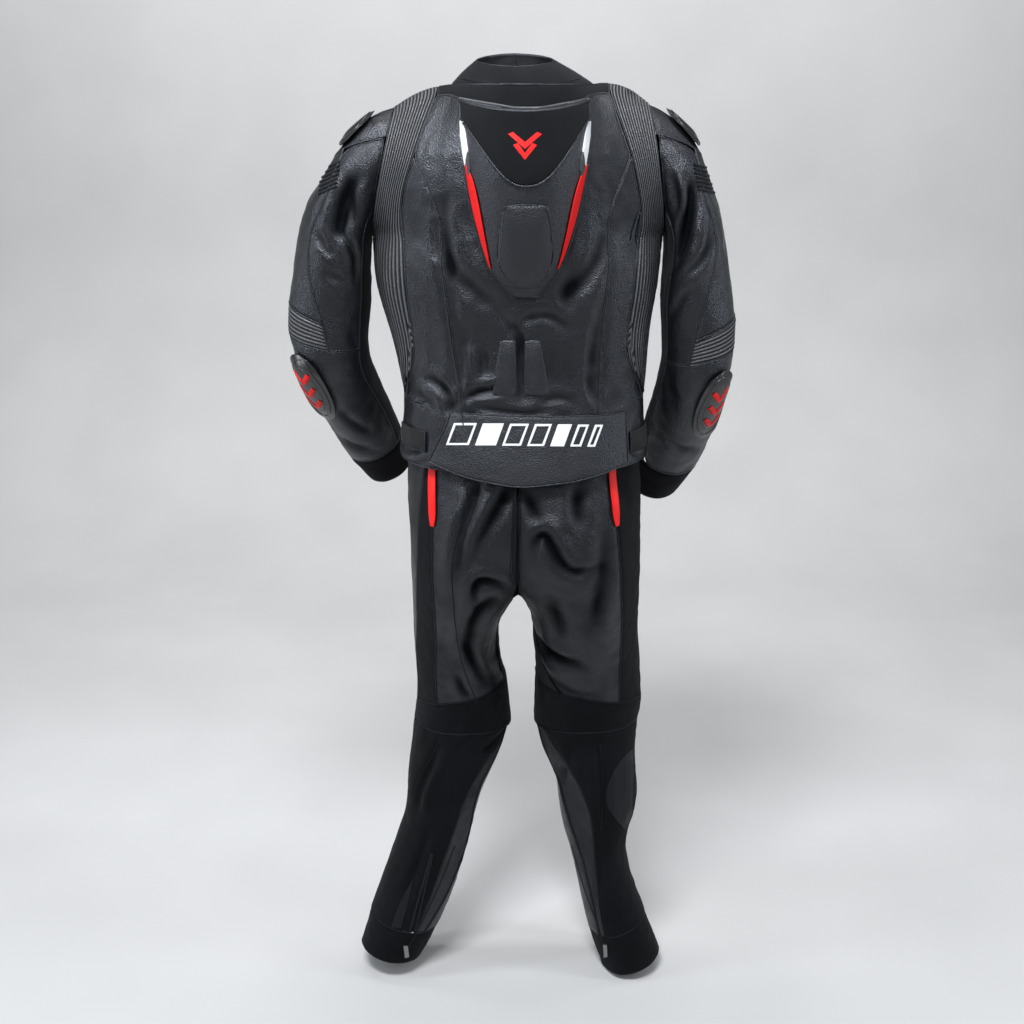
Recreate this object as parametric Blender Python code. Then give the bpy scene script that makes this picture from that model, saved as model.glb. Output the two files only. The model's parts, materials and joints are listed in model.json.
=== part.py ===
"""Two-piece motorcycle race suit, filled out as if worn, with nobody in it.

+Z is up, the wearer faces +Y and the origin is the middle of the neck opening. Every cloth piece is a wall:
an outer grid of points on one of the form surfaces (body, sleeves, legs, collar) and the same points moved
inwards. Neighbours take their edge points from one seam, so their walls stand one seam apart everywhere.
"""

import math

import bmesh
import bpy
import numpy as np
from mathutils import Vector
from mathutils.bvhtree import BVHTree

# ---------------------------------------------------------------- sizes, metres
WALL = 0.0024  # leather with its lining
STRETCH_WALL = 0.0020  # stretch fabric and neoprene
SEAM = 0.0003  # between the edges of two sewn pieces
CLEAR = 0.0009  # under a piece that lies on another
RIB_HEIGHT = 0.0011
RIBS = 13  # accordion ribs across the shoulder-blade panel
ELBOW_RIBS = 7
NECK_SHARE = 0.55  # of the way from the middle to the shoulder tip, where the neckline starts
NECK_POINT = (-0.006, -0.0125)  # depth and height there
ARMPIT = 0.69  # body height parameter of the armpit
YOKE_LOW = 0.945  # body height parameter of the yoke's lower seam
ZIP_WIDTH = 0.024
FLAP_EDGE = 0.0005  # under its sewn top edge
FLAP_CLEAR = 0.0030  # at its free lower edge
FLAP_WALL = 0.0030

BODY_ROWS = [0, 0.07, 0.14, 0.21, 0.29, 0.375, 0.45, 0.53, 0.61, 0.69]
BODY_ROWS += [0.735, 0.78, 0.82, 0.865, 0.905, 0.945, 0.975, 1.0]


# ---------------------------------------------------------------- smooth tables
def tangents(t, y):
    """Slopes of a monotone cubic, so that a table never overshoots its rows."""
    step = np.diff(t)
    slope = np.diff(y) / step
    m = np.zeros_like(y)
    m[0], m[-1] = slope[0], slope[-1]
    for i in range(1, len(y) - 1):
        if slope[i - 1] * slope[i] > 0:
            w1, w2 = 2 * step[i] + step[i - 1], step[i] + 2 * step[i - 1]
            m[i] = (w1 + w2) / (w1 / slope[i - 1] + w2 / slope[i])
    return m


def smooth(knots, values, at, slopes=None):
    """The smooth curve through (knots, values), straight beyond its ends."""
    t, y, x = np.asarray(knots, float), np.asarray(values, float), np.asarray(at, float)
    m = tangents(t, y) if slopes is None else slopes
    step = np.diff(t)
    k = np.clip(np.searchsorted(t, x) - 1, 0, len(t) - 2)
    h = step[k]
    u = np.clip((x - t[k]) / h, -0.6, 1.6)
    a, b = 2 * u**3 - 3 * u**2 + 1, u**3 - 2 * u**2 + u
    inside = a * y[k] + b * h * m[k] + (1 - a) * y[k + 1] + (u**3 - u**2) * h * m[k + 1]
    inside = np.where(u < 0, y[k] + u * h * m[k], inside)
    return np.where(u > 1, y[k + 1] + (u - 1) * h * m[k + 1], inside)


class Table:
    """Rows of named columns; the first column is the position along the form."""

    def __init__(self, columns, rows):
        data = np.array(rows, float)
        self.names = columns.split()
        self.data = {name: data[:, i] for i, name in enumerate(self.names)}
        self.slopes = {name: tangents(data[:, 0], data[:, i]) for i, name in enumerate(self.names) if i}

    def at(self, name, where):
        return smooth(self.data[self.names[0]], self.data[name], where, self.slopes[name])


# ---------------------------------------------------------------- form tables
# Sleeves: from the armhole to the cuff. Each section has an outer and an inner point (x, z), the depth at
# which they lie, how far the back and the front stand from that line, and how much lower the back stands.
SLEEVE_COLUMNS = "along xo zo xi zi y back front tilt round"
SLEEVE = {
    "L": Table(
        SLEEVE_COLUMNS,
        [
            (0.00, -0.172, -0.044, -0.2085, -0.214, 0.010, 0.072, 0.072, 0, 2.1),
            (0.07, -0.206, -0.053, -0.2120, -0.227, 0.008, 0.079, 0.074, 0, 2.2),
            (0.14, -0.234, -0.075, -0.2118, -0.241, 0.005, 0.081, 0.074, 0, 2.3),
            (0.22, -0.256, -0.104, -0.2112, -0.256, 0.003, 0.079, 0.073, 0, 2.3),
            (0.30, -0.280, -0.143, -0.2106, -0.273, 0.001, 0.075, 0.071, 0, 2.2),
            (0.40, -0.303, -0.178, -0.2100, -0.294, 0.000, 0.070, 0.068, 0, 2.2),
            (0.50, -0.318, -0.230, -0.2100, -0.318, 0.000, 0.066, 0.064, 0, 2.2),
            (0.58, -0.327, -0.284, -0.2140, -0.343, 0.000, 0.063, 0.061, 3, 2.2),
            (0.66, -0.3375, -0.342, -0.2170, -0.368, 0.000, 0.061, 0.059, 7, 2.2),
            (0.73, -0.332, -0.392, -0.2160, -0.398, 0.002, 0.060, 0.057, 14, 2.2),
            (0.80, -0.317, -0.446, -0.2095, -0.428, 0.024, 0.058, 0.054, 25, 2.2),
            (0.87, -0.297, -0.505, -0.1985, -0.470, 0.055, 0.053, 0.050, 33, 2.2),
            (0.94, -0.276, -0.565, -0.1830, -0.527, 0.096, 0.046, 0.044, 36, 2.1),
            (1.00, -0.247, -0.617, -0.1710, -0.584, 0.136, 0.040, 0.040, 38, 2.0),
        ],
    ),
    "R": Table(
        SLEEVE_COLUMNS,
        [
            (0.00, 0.183, -0.039, 0.2080, -0.214, 0.010, 0.072, 0.072, 0, 2.1),
            (0.07, 0.212, -0.050, 0.2110, -0.227, 0.008, 0.079, 0.074, 0, 2.2),
            (0.14, 0.241, -0.075, 0.2108, -0.241, 0.005, 0.081, 0.074, 0, 2.3),
            (0.22, 0.258, -0.104, 0.2100, -0.256, 0.003, 0.079, 0.073, 0, 2.3),
            (0.30, 0.273, -0.143, 0.2090, -0.275, 0.001, 0.075, 0.071, 0, 2.2),
            (0.40, 0.289, -0.184, 0.2065, -0.298, 0.000, 0.070, 0.068, 0, 2.2),
            (0.50, 0.301, -0.240, 0.2060, -0.325, 0.000, 0.066, 0.064, 0, 2.2),
            (0.58, 0.312, -0.290, 0.2090, -0.352, 0.000, 0.063, 0.061, 3, 2.2),
            (0.66, 0.3200, -0.350, 0.2110, -0.382, 0.000, 0.061, 0.059, 7, 2.2),
            (0.73, 0.317, -0.405, 0.2085, -0.412, 0.002, 0.060, 0.057, 12, 2.2),
            (0.80, 0.3090, -0.462, 0.2045, -0.447, 0.024, 0.058, 0.054, 22, 2.2),
            (0.87, 0.305, -0.523, 0.1990, -0.492, 0.055, 0.053, 0.050, 30, 2.2),
            (0.94, 0.288, -0.585, 0.1880, -0.552, 0.096, 0.046, 0.044, 35, 2.1),
            (1.00, 0.262, -0.642, 0.1760, -0.614, 0.136, 0.041, 0.041, 38, 2.0),
        ],
    ),
}

# Legs: from the waist to the ankle. Above the crotch the inner point lies past the middle, where the two
# legs' sections meet in the seat seam.
LEG_COLUMNS = "along xo zo xi zi y back front tilt round"
LEG = {
    "L": Table(
        LEG_COLUMNS,
        [
            (0.000, -0.1683, -0.485, 0.150, -0.485, 0.000, 0.105, 0.100, 0, 2.2),
            (0.065, -0.166, -0.545, 0.125, -0.545, 0.000, 0.112, 0.106, 0, 2.2),
            (0.125, -0.172, -0.600, 0.098, -0.600, 0.003, 0.130, 0.113, 0, 2.2),
            (0.190, -0.171, -0.660, 0.066, -0.660, 0.006, 0.138, 0.116, 2, 2.2),
            (0.255, -0.168, -0.720, 0.034, -0.720, 0.012, 0.136, 0.111, 4, 2.2),
            (0.300, -0.167, -0.765, 0.006, -0.758, 0.018, 0.126, 0.106, 6, 2.2),
            (0.325, -0.167, -0.790, -0.017, -0.778, 0.023, 0.117, 0.102, 8, 2.2),
            (0.350, -0.167, -0.815, -0.026, -0.805, 0.029, 0.109, 0.098, 8, 2.2),
            (0.400, -0.168, -0.855, -0.031, -0.850, 0.036, 0.101, 0.094, 8, 2.2),
            (0.470, -0.166, -0.922, -0.028, -0.905, 0.043, 0.092, 0.088, 3, 2.2),
            (0.535, -0.164, -0.971, -0.018, -0.940, 0.045, 0.084, 0.084, -2, 2.2),
            (0.590, -0.168, -1.015, -0.010, -1.020, 0.042, 0.077, 0.083, -5, 2.2),
            (0.630, -0.174, -1.060, -0.022, -1.062, 0.037, 0.073, 0.083, -4, 2.1),
            (0.665, -0.182, -1.098, -0.040, -1.100, 0.030, 0.070, 0.082, -2, 2.1),
            (0.700, -0.185, -1.130, -0.057, -1.138, 0.023, 0.068, 0.078, -5, 2.1),
            (0.735, -0.184, -1.160, -0.068, -1.176, 0.016, 0.066, 0.071, -8, 2.1),
            (0.770, -0.192, -1.196, -0.075, -1.214, 0.011, 0.065, 0.064, -9, 2.1),
            (0.805, -0.209, -1.232, -0.083, -1.250, 0.006, 0.062, 0.060, -8, 2.1),
            (0.860, -0.226, -1.290, -0.102, -1.312, -0.002, 0.058, 0.057, -6, 2.1),
            (0.920, -0.246, -1.342, -0.128, -1.372, -0.011, 0.055, 0.055, -4, 2.0),
            (1.000, -0.267, -1.408, -0.158, -1.430, -0.020, 0.055, 0.055, -1, 2.0),
        ],
    ),
    "R": Table(
        LEG_COLUMNS,
        [
            (0.000, 0.1855, -0.485, -0.162, -0.485, 0.000, 0.105, 0.100, 0, 2.2),
            (0.065, 0.180, -0.545, -0.132, -0.545, 0.000, 0.112, 0.106, 0, 2.2),
            (0.125, 0.192, -0.600, -0.102, -0.600, 0.003, 0.130, 0.113, 0, 2.2),
            (0.190, 0.197, -0.660, -0.068, -0.660, 0.006, 0.138, 0.116, 2, 2.2),
            (0.255, 0.199, -0.720, -0.034, -0.720, 0.012, 0.136, 0.111, 4, 2.2),
            (0.300, 0.200, -0.765, -0.006, -0.758, 0.018, 0.126, 0.106, 6, 2.2),
            (0.325, 0.200, -0.790, 0.017, -0.778, 0.023, 0.117, 0.102, 8, 2.2),
            (0.350, 0.200, -0.815, 0.023, -0.805, 0.029, 0.109, 0.098, 8, 2.2),
            (0.400, 0.201, -0.855, 0.023, -0.850, 0.036, 0.101, 0.094, 8, 2.2),
            (0.470, 0.204, -0.922, 0.029, -0.905, 0.043, 0.092, 0.088, 3, 2.2),
            (0.535, 0.205, -0.968, 0.028, -0.935, 0.045, 0.084, 0.084, -2, 2.2),
            (0.590, 0.201, -1.010, 0.026, -1.020, 0.042, 0.077, 0.083, -5, 2.2),
            (0.630, 0.198, -1.052, 0.038, -1.062, 0.037, 0.073, 0.083, -4, 2.1),
            (0.665, 0.197, -1.090, 0.062, -1.100, 0.030, 0.070, 0.082, -2, 2.1),
            (0.700, 0.201, -1.128, 0.067, -1.138, 0.023, 0.068, 0.078, -5, 2.1),
            (0.735, 0.200, -1.164, 0.069, -1.176, 0.016, 0.066, 0.071, -8, 2.1),
            (0.770, 0.187, -1.200, 0.078, -1.214, 0.011, 0.064, 0.064, -9, 2.1),
            (0.805, 0.180, -1.236, 0.089, -1.250, 0.006, 0.061, 0.059, -8, 2.1),
            (0.860, 0.198, -1.295, 0.102, -1.312, -0.002, 0.057, 0.056, -6, 2.1),
            (0.920, 0.214, -1.347, 0.119, -1.378, -0.011, 0.055, 0.055, -4, 2.0),
            (1.000, 0.243, -1.425, 0.141, -1.450, -0.020, 0.057, 0.055, 0, 2.0),
        ],
    ),
}

# Jacket body: from the hem (0) to the neckline (1). Side columns end at the armpit, where the armhole takes
# over; the middle columns run to the neck.
BODY = Table(
    "along z xl xr y back_z back_y front_z front_y",
    [
        (-0.06, -0.568, -0.180, 0.194, 0.000, -0.568, -0.131, -0.568, 0.121),
        (0.00, -0.540, -0.177, 0.191, 0.000, -0.540, -0.128, -0.540, 0.118),
        (0.10, -0.497, -0.173, 0.189, 0.000, -0.497, -0.120, -0.497, 0.114),
        (0.20, -0.452, -0.169, 0.188, 0.002, -0.452, -0.112, -0.452, 0.112),
        (0.30, -0.405, -0.174, 0.189, 0.004, -0.405, -0.106, -0.405, 0.113),
        (0.42, -0.345, -0.188, 0.192, 0.007, -0.345, -0.108, -0.345, 0.119),
        (0.54, -0.288, -0.2045, 0.2015, 0.009, -0.288, -0.116, -0.288, 0.126),
        (0.64, -0.236, -0.2074, 0.2052, 0.010, -0.238, -0.122, -0.238, 0.130),
        (0.69, -0.214, -0.2085, 0.2080, 0.010, -0.212, -0.123, -0.212, 0.130),
        (0.80, -0.150, -0.200, 0.205, 0.010, -0.148, -0.121, -0.155, 0.124),
        (0.90, -0.090, -0.185, 0.195, 0.010, -0.080, -0.111, -0.100, 0.108),
        (0.96, -0.060, -0.176, 0.187, 0.010, -0.036, -0.098, -0.064, 0.090),
        (1.00, -0.044, -0.172, 0.183, 0.010, -0.010, -0.085, -0.042, 0.076),
    ],
)

# Creases of the filled-out cloth, as ridges seen from the back: two ends, half width, height.
FOLDS = Table(
    "row x0 z0 x1 z1 wide high",
    [
        (0, -0.145, -0.440, -0.095, -0.500, 0.014, 0.0050),
        (1, -0.060, -0.420, 0.020, -0.355, 0.020, 0.0035),
        (2, 0.120, -0.300, 0.045, -0.375, 0.018, 0.0035),
        (3, -0.105, -0.330, -0.060, -0.400, 0.018, 0.0040),
        (4, -0.080, -0.620, -0.110, -0.730, 0.020, 0.0060),
        (5, 0.045, -0.620, 0.130, -0.760, 0.022, 0.0060),
        (6, 0.020, -0.720, 0.060, -0.700, 0.018, 0.0040),
        (7, -0.060, -0.900, -0.040, -0.965, 0.020, 0.0060),
        (8, 0.060, -0.900, 0.150, -0.930, 0.022, 0.0050),
        (9, -0.285, -0.215, -0.262, -0.275, 0.018, 0.0060),
        (10, 0.262, -0.200, 0.235, -0.285, 0.020, 0.0060),
    ],
)


def creases(points):
    """Height of the creases at each point, for the side that faces back."""
    high = np.zeros(points.shape[:-1])
    f = FOLDS.data
    for i in range(len(f["row"])):
        ends = np.array([[f["x0"][i], f["z0"][i]], [f["x1"][i], f["z1"][i]]])
        run = ends[1] - ends[0]
        flat = points[..., [0, 2]]
        t = np.clip(((flat - ends[0]) @ run) / (run @ run), 0, 1)
        away = np.linalg.norm(flat - ends[0] - t[..., None] * run, axis=-1)
        high += f["high"][i] * np.exp(-((away / f["wide"][i]) ** 2))
    return high * np.clip(-points[..., 1] / 0.05, 0, 1)


# ---------------------------------------------------------------- form surfaces
def power(c, n):
    return np.sign(c) * np.abs(c) ** (2.0 / n)


def tube(table, creased=True):
    """Surface of a sleeve or a leg: degrees round it (0 outer, 90 back, 180 inner, 270 front) and along."""

    def at(turn, along):
        turn, along = np.broadcast_arrays(np.asarray(turn, float), np.asarray(along, float))
        col = {name: table.at(name, along) for name in table.names[1:]}
        angle = np.radians(turn)
        c, s = power(np.cos(angle), col["round"]), power(np.sin(angle), col["round"])
        middle = np.stack([(col["xo"] + col["xi"]) / 2, col["y"], (col["zo"] + col["zi"]) / 2], -1)
        half = np.stack([(col["xo"] - col["xi"]) / 2, 0 * along, (col["zo"] - col["zi"]) / 2], -1)
        up = np.stack([-half[..., 2], 0 * along, half[..., 0]], -1)
        up *= np.sign(half[..., :1]) / np.linalg.norm(half, axis=-1, keepdims=True)
        tilt = np.radians(col["tilt"])[..., None]
        back = -np.sin(tilt) * up - np.cos(tilt) * np.array([0.0, 1.0, 0.0])
        depth = np.where(s > 0, col["back"], col["front"])
        points = middle + half * c[..., None] + back * (depth * s)[..., None]
        if creased:
            points = points + back * (creases(points) * np.clip(s, 0, 1))[..., None]
        return points

    return at


def body(side):
    """The jacket's back or front: -1 to 1 across, and along from the hem (0) to the neckline (1)."""

    def at(across, along):
        s, v = np.broadcast_arrays(np.asarray(across, float), np.asarray(along, float))
        q = np.abs(s)
        rise = np.clip((v - ARMPIT) / (1 - ARMPIT), 0, 1)
        opened = np.clip((v - 0.58) / 0.24, 0, 1)
        opened = opened * opened * (3 - 2 * opened)
        q = (1 - opened) * np.sin(q * math.pi / 2) + opened * q
        turn = 180 * (1 - rise) if side == "back" else 180 + 180 * rise
        left, right = SLEEVE_FORM["L"](turn, 0 * turn), SLEEVE_FORM["R"](turn, 0 * turn)
        low = v <= ARMPIT
        z, y = BODY.at("z", v), BODY.at("y", v)
        left = np.where(low[..., None], np.stack([BODY.at("xl", v), y, z], -1), left)
        right = np.where(low[..., None], np.stack([BODY.at("xr", v), y, z], -1), right)
        edge = np.where((s < 0)[..., None], left, right)
        middle = (left + right) / 2
        centre_y, centre_z = BODY.at(side + "_y", v), BODY.at(side + "_z", v)
        top = np.clip((v - 0.84) / 0.16, 0, 1)
        top = top * top * (3 - 2 * top)
        closed = np.clip(1 - q**2.5, 0, 1) ** (1 / 2.5)
        weight = (1 - opened) * closed + opened * (1 - q**2.3)
        neck = np.clip(q / NECK_SHARE, 0, 1)
        outside = np.clip((1 - q) / (1 - NECK_SHARE), 0, 1)
        inside = q < NECK_SHARE
        ring_y = NECK_POINT[0] + (centre_y - NECK_POINT[0]) * np.sqrt(1 - neck**2)
        ring_y = np.where(inside, ring_y, edge[..., 1] + (NECK_POINT[0] - edge[..., 1]) * outside)
        ring_z = NECK_POINT[1] + (centre_z - NECK_POINT[1]) * (1 - neck**2)
        slope_z = edge[..., 2] + (NECK_POINT[1] - edge[..., 2]) * outside
        slope_z = slope_z + np.where(s < 0, 0.007, 0.011) * np.sin(math.pi * outside)
        ring_z = np.where(inside, ring_z, slope_z)
        x = middle[..., 0] + (edge[..., 0] - middle[..., 0]) * q
        y = (1 - top) * (edge[..., 1] + (centre_y - edge[..., 1]) * weight) + top * ring_y
        z = (1 - top) * (edge[..., 2] + (centre_z - edge[..., 2]) * (1 - q**2)) + top * ring_z
        points = np.stack([x, y, z], -1)
        if side == "back":
            points = points - np.array([0.0, 1.0, 0.0]) * (creases(points) * (1 - top))[..., None]
        return points

    return at


def normals(form, u, v, centre=None):
    """Unit normals of a form by differences, pointing away from `centre`."""
    h = 1e-3
    du = form(u + h * np.ptp(DOMAIN[form][0]), v) - form(u - h * np.ptp(DOMAIN[form][0]), v)
    dv = form(u, v + h) - form(u, v - h)
    n = np.cross(du, dv)
    n /= np.maximum(np.linalg.norm(n, axis=-1, keepdims=True), 1e-12)
    away = np.einsum("...i,...i", n, form(u, v) - DOMAIN[form][1](v))
    return n * np.where(away < 0, -1, 1)[..., None]


def middle_of(table):
    def at(along):
        x = (table.at("xo", along) + table.at("xi", along)) / 2
        z = (table.at("zo", along) + table.at("zi", along)) / 2
        return np.stack([x, table.at("y", along), z], -1)

    return at


SLEEVE_FORM = {side: tube(SLEEVE[side]) for side in "LR"}
LEG_RAW = {side: tube(LEG[side]) for side in "LR"}
BACK, FRONT = body("back"), body("front")


def below_hem(drop):
    """Points inside the jacket, from which a surface is looked up."""
    return lambda v: np.stack([0 * v + 0.006, 0 * v + 0.01, BODY.at("back_z", v) - drop], -1)


DOMAIN = {BACK: ((-1, 1), below_hem(0.04))}
DOMAIN[FRONT] = ((-1, 1), below_hem(0.05))
for side in "LR":
    DOMAIN[SLEEVE_FORM[side]] = ((0, 360), middle_of(SLEEVE[side]))
    DOMAIN[LEG_RAW[side]] = ((0, 360), middle_of(LEG[side]))


def bisect(low, high, inside):
    """Where inside() turns from true at `low` to false at `high`, for whole arrays at once."""
    low, high = np.array(low, float), np.array(high, float)
    for _ in range(42):
        half = (low + high) / 2
        ok = inside(half)
        low, high = np.where(ok, half, low), np.where(ok, high, half)
    return (low + high) / 2


# The two legs' sections meet in the middle: their depths there are shared, so the seat seam is one line.
CROTCH = {}
MEET = {}
STEPS = np.linspace(0, 0.33, 45)
for side in "LR":
    form, sign = LEG_RAW[side], -1 if side == "L" else 1
    CROTCH[side] = float(bisect([0.2], [0.4], lambda w: sign * form(180, w)[..., 0] < 0)[0])
    for name, limit in (("back", 90), ("front", 270)):
        steps = np.minimum(STEPS, CROTCH[side])
        turn = bisect(0 * steps + limit, 0 * steps + 180, lambda t: sign * form(t, steps)[..., 0] > 0)
        MEET[side, name] = (turn, form(turn, steps)[..., 1])


def leg(side):
    """A leg's surface, with its depth beside the seat seam drawn to the line both legs share."""
    raw, other = LEG_RAW[side], "R" if side == "L" else "L"

    def at(turn, along):
        points = raw(turn, along)
        near = np.clip(1 - np.abs(points[..., 0]) / 0.07, 0, 1) ** 2
        above = np.clip((CROTCH[side] - along) / 0.03, 0, 1)
        along = np.broadcast_to(along, near.shape)
        shift = 0
        for name in ("back", "front"):
            gap = np.interp(along, STEPS, (MEET[other, name][1] - MEET[side, name][1]) / 2)
            behind = points[..., 1] < raw(0, along)[..., 1]
            facing = behind if name == "back" else ~behind
            shift = shift + gap * facing
        points[..., 1] += shift * near * above
        return points

    return at


LEG_FORM = {side: leg(side) for side in "LR"}
for side in "LR":
    DOMAIN[LEG_FORM[side]] = DOMAIN[LEG_RAW[side]]


def locate(form, x, z, u, v, low_u, high_u):
    """The (u, v) of the form whose point is seen at (x, z) from the back."""
    for _ in range(40):
        p = form(np.array(u), np.array(v))
        if abs(p[0] - x) + abs(p[2] - z) < 2e-6:
            break
        hu, hv = 1e-4 * (high_u - low_u), 1e-4
        pu = (form(np.array(u + hu), np.array(v)) - p) / hu
        pv = (form(np.array(u), np.array(v + hv)) - p) / hv
        m = np.array([[pu[0], pv[0]], [pu[2], pv[2]]])
        step = np.linalg.lstsq(m, np.array([x - p[0], z - p[2]]), rcond=None)[0]
        most = 0.1 * (high_u - low_u)
        u = float(np.clip(u + np.clip(step[0], -most, most), low_u, high_u))
        v = float(np.clip(v + np.clip(step[1], -0.1, 0.1), -0.1, 1.0))
    return u, v


def seam(form, points, low_u, high_u, start):
    """A seam as u over v, from points (x, z) laid out as seen from the back."""
    found, guess = [], start
    for x, z in points:
        guess = locate(form, x, z, guess[0], guess[1], low_u, high_u)
        found.append(guess)
    found.sort(key=lambda uv: uv[1])
    u, v = [uv[0] for uv in found], [uv[1] for uv in found]
    return lambda along: smooth(v, u, np.clip(along, v[0], v[-1]))


# ---------------------------------------------------------------- walls
def unit(v):
    return v / np.maximum(np.linalg.norm(v, axis=-1, keepdims=True), 1e-12)


def meet(one, other):
    """The direction in which two walls that meet in a seam move, lengthened so that neither gets thin."""
    both = unit(one + other)
    return both / np.maximum(np.einsum("...i,...i", both, one), 0.5)[..., None]


def inset(points, amount, closed=False):
    """Moves the border of a grid inwards by half a seam."""
    moved = points.copy()

    def pull(edge, inner):
        run = inner - edge
        length = np.linalg.norm(run, axis=-1, keepdims=True)
        return run / np.maximum(length, 1e-9) * np.minimum(amount, 0.3 * length)

    moved[0] += pull(points[0], points[1])
    moved[-1] += pull(points[-1], points[-2])
    if not closed:
        moved[:, 0] += pull(points[:, 0], points[:, 1])
        moved[:, -1] += pull(points[:, -1], points[:, -2])
    return moved


def add_grid(mesh, points):
    """One grid from Blender's operator, its vertices placed on the rows and columns of `points`."""
    rows, columns = points.shape[0] - 1, points.shape[1] - 1
    made = bmesh.ops.create_grid(mesh, x_segments=columns, y_segments=rows, size=1)["verts"]
    grid = [[None] * (columns + 1) for _ in range(rows + 1)]
    for vertex in made:
        i, j = round((vertex.co.x + 1) / 2 * columns), round((vertex.co.y + 1) / 2 * rows)
        grid[j][i] = vertex
        vertex.co = points[j, i]
    return grid


def loft(mesh, one, other):
    """Joins two rows of vertices that may differ in number."""
    i = j = 0
    n, m = len(one) - 1, len(other) - 1
    while i < n or j < m:
        if n == m:
            mesh.faces.new((one[i], one[i + 1], other[j + 1], other[j]))
            i, j = i + 1, j + 1
        elif j == m or (i < n and (i + 1) * m <= (j + 1) * n):
            mesh.faces.new((one[i], one[i + 1], other[j]))
            i += 1
        else:
            mesh.faces.new((one[i], other[j + 1], other[j]))
            j += 1


OUTER = {}  # the outer grid of each piece, for what lies on it


def place(name, mesh, material):
    bmesh.ops.remove_doubles(mesh, verts=mesh.verts, dist=2e-6)
    bmesh.ops.recalc_face_normals(mesh, faces=mesh.faces)
    if mesh.calc_volume(signed=True) < 0:
        bmesh.ops.reverse_faces(mesh, faces=mesh.faces)
    data = bpy.data.meshes.new(name)
    mesh.to_mesh(data)
    mesh.free()
    data.materials.append(material)
    made = bpy.data.objects.new(name, data)
    SUIT.objects.link(made)
    return made


def wall(name, outer, inner, material, closed=False):
    """A closed wall between two grids with the same rows; the inner one may have fewer columns."""
    mesh = bmesh.new()
    top, low = add_grid(mesh, outer), add_grid(mesh, inner)
    loft(mesh, top[0], low[0])
    loft(mesh, top[-1], low[-1])
    if not closed:
        loft(mesh, [row[0] for row in top], [row[0] for row in low])
        loft(mesh, [row[-1] for row in top], [row[-1] for row in low])
    OUTER[name] = outer
    return place(name, mesh, material)


def panel(
    name, form, turn, along, material, thick=WALL, joins=(), ribs=None, fine=None, closed=False, middle=None, pins=()
):
    """A cut piece: a grid of (turn, along) on a form. `joins` gives directions for borders that meet another
    form; `ribs` is a grid of heights; `fine` lists the inner columns kept under ribs; `middle` marks the
    vertices of a seam in the middle plane and says on which side of it the piece lies; `pins` sets points."""
    turn, along = np.broadcast_arrays(np.asarray(turn, float), np.asarray(along, float))
    points = form(turn, along)
    for where, position in pins:
        points[where] = position
    out = normals(form, turn, along)
    for where, direction in joins:
        out[where] = direction
    points = inset(points, SEAM / 2, closed)
    if middle:
        marked, sign = middle
        own = out[marked]
        out[marked] = meet(own, own * np.array([-1.0, 1.0, 1.0]))
        points[..., 0] = np.where(marked, sign * SEAM / 2, points[..., 0])
    heights = 0 if ribs is None else ribs[..., None]
    outer = points + unit(out) * heights
    inner = points - out * thick
    if fine:
        inner = inner[:, fine]
    return wall(name, outer, inner, material, closed)


def across(left, right, rows, columns):
    """Grid of turns between two seams, row by row, with the rows' own positions beside it."""
    rows = np.asarray(rows, float)
    a, b = np.asarray(left(rows), float), np.asarray(right(rows), float)
    t = np.linspace(0, 1, columns + 1)
    return a[:, None] + (b - a)[:, None] * t, np.repeat(rows[:, None], columns + 1, 1)


def fixed(value):
    return lambda rows: np.full(np.shape(rows), float(value))


def colour(name, rgb, rough, metal=0.0):
    made = bpy.data.materials.new(name)
    made.use_nodes = True
    shader = made.node_tree.nodes["Principled BSDF"]
    shader.inputs["Base Color"].default_value = (*rgb, 1)
    shader.inputs["Roughness"].default_value = rough
    shader.inputs["Metallic"].default_value = metal
    return made


# ---------------------------------------------------------------- the scene
for old in list(bpy.data.objects):
    bpy.data.objects.remove(old, do_unlink=True)
SUIT = bpy.data.collections.new("race_suit")
bpy.context.scene.collection.children.link(SUIT)
LEATHER = colour("black_leather", (0.020, 0.021, 0.025), 0.5)
STRETCH = colour("stretch_fabric", (0.010, 0.011, 0.014), 0.85)
RIBBED = colour("ribbed_leather", (0.022, 0.023, 0.027), 0.55)
RED = colour("red_leather", (0.75, 0.03, 0.02), 0.45)
HARD = colour("hard_plastic", (0.012, 0.012, 0.013), 0.25)
METAL = colour("dark_metal", (0.25, 0.25, 0.26), 0.35, 1.0)

# ---------------------------------------------------------------- jacket back
BLADE = {
    "L": seam(
        BACK,
        [(-0.112, -0.030), (-0.118, -0.048), (-0.137, -0.078), (-0.143, -0.110), (-0.155, -0.136),
         (-0.160, -0.172), (-0.159, -0.214), (-0.156, -0.270), (-0.149, -0.343), (-0.143, -0.390)],
        -1, 0, (-0.6, 0.95),
    ),
    "R": seam(
        BACK,
        [(0.126, -0.030), (0.132, -0.050), (0.151, -0.078), (0.156, -0.110), (0.163, -0.140),
         (0.170, -0.172), (0.168, -0.214), (0.163, -0.270), (0.156, -0.343), (0.153, -0.375)],
        0, 1, (0.6, 0.95),
    ),
}
PRINCESS = {
    "L": seam(BACK, [(-0.143, -0.110), (-0.126, -0.138), (-0.106, -0.210), (-0.098, -0.293),
                     (-0.091, -0.365), (-0.076, -0.455), (-0.072, -0.535)], -1, 0, (-0.7, 0.85)),
    "R": seam(BACK, [(0.156, -0.110), (0.134, -0.151), (0.124, -0.210), (0.121, -0.293),
                     (0.118, -0.379), (0.116, -0.459), (0.115, -0.535)], 0, 1, (0.7, 0.85)),
}
APEX = 0.865  # body height where the princess seam leaves the accordion
TIP = 0.21  # body height of the accordion's lower tip, at the side
CURVE = 0.375  # where its inner seam starts to curve to the side


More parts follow.
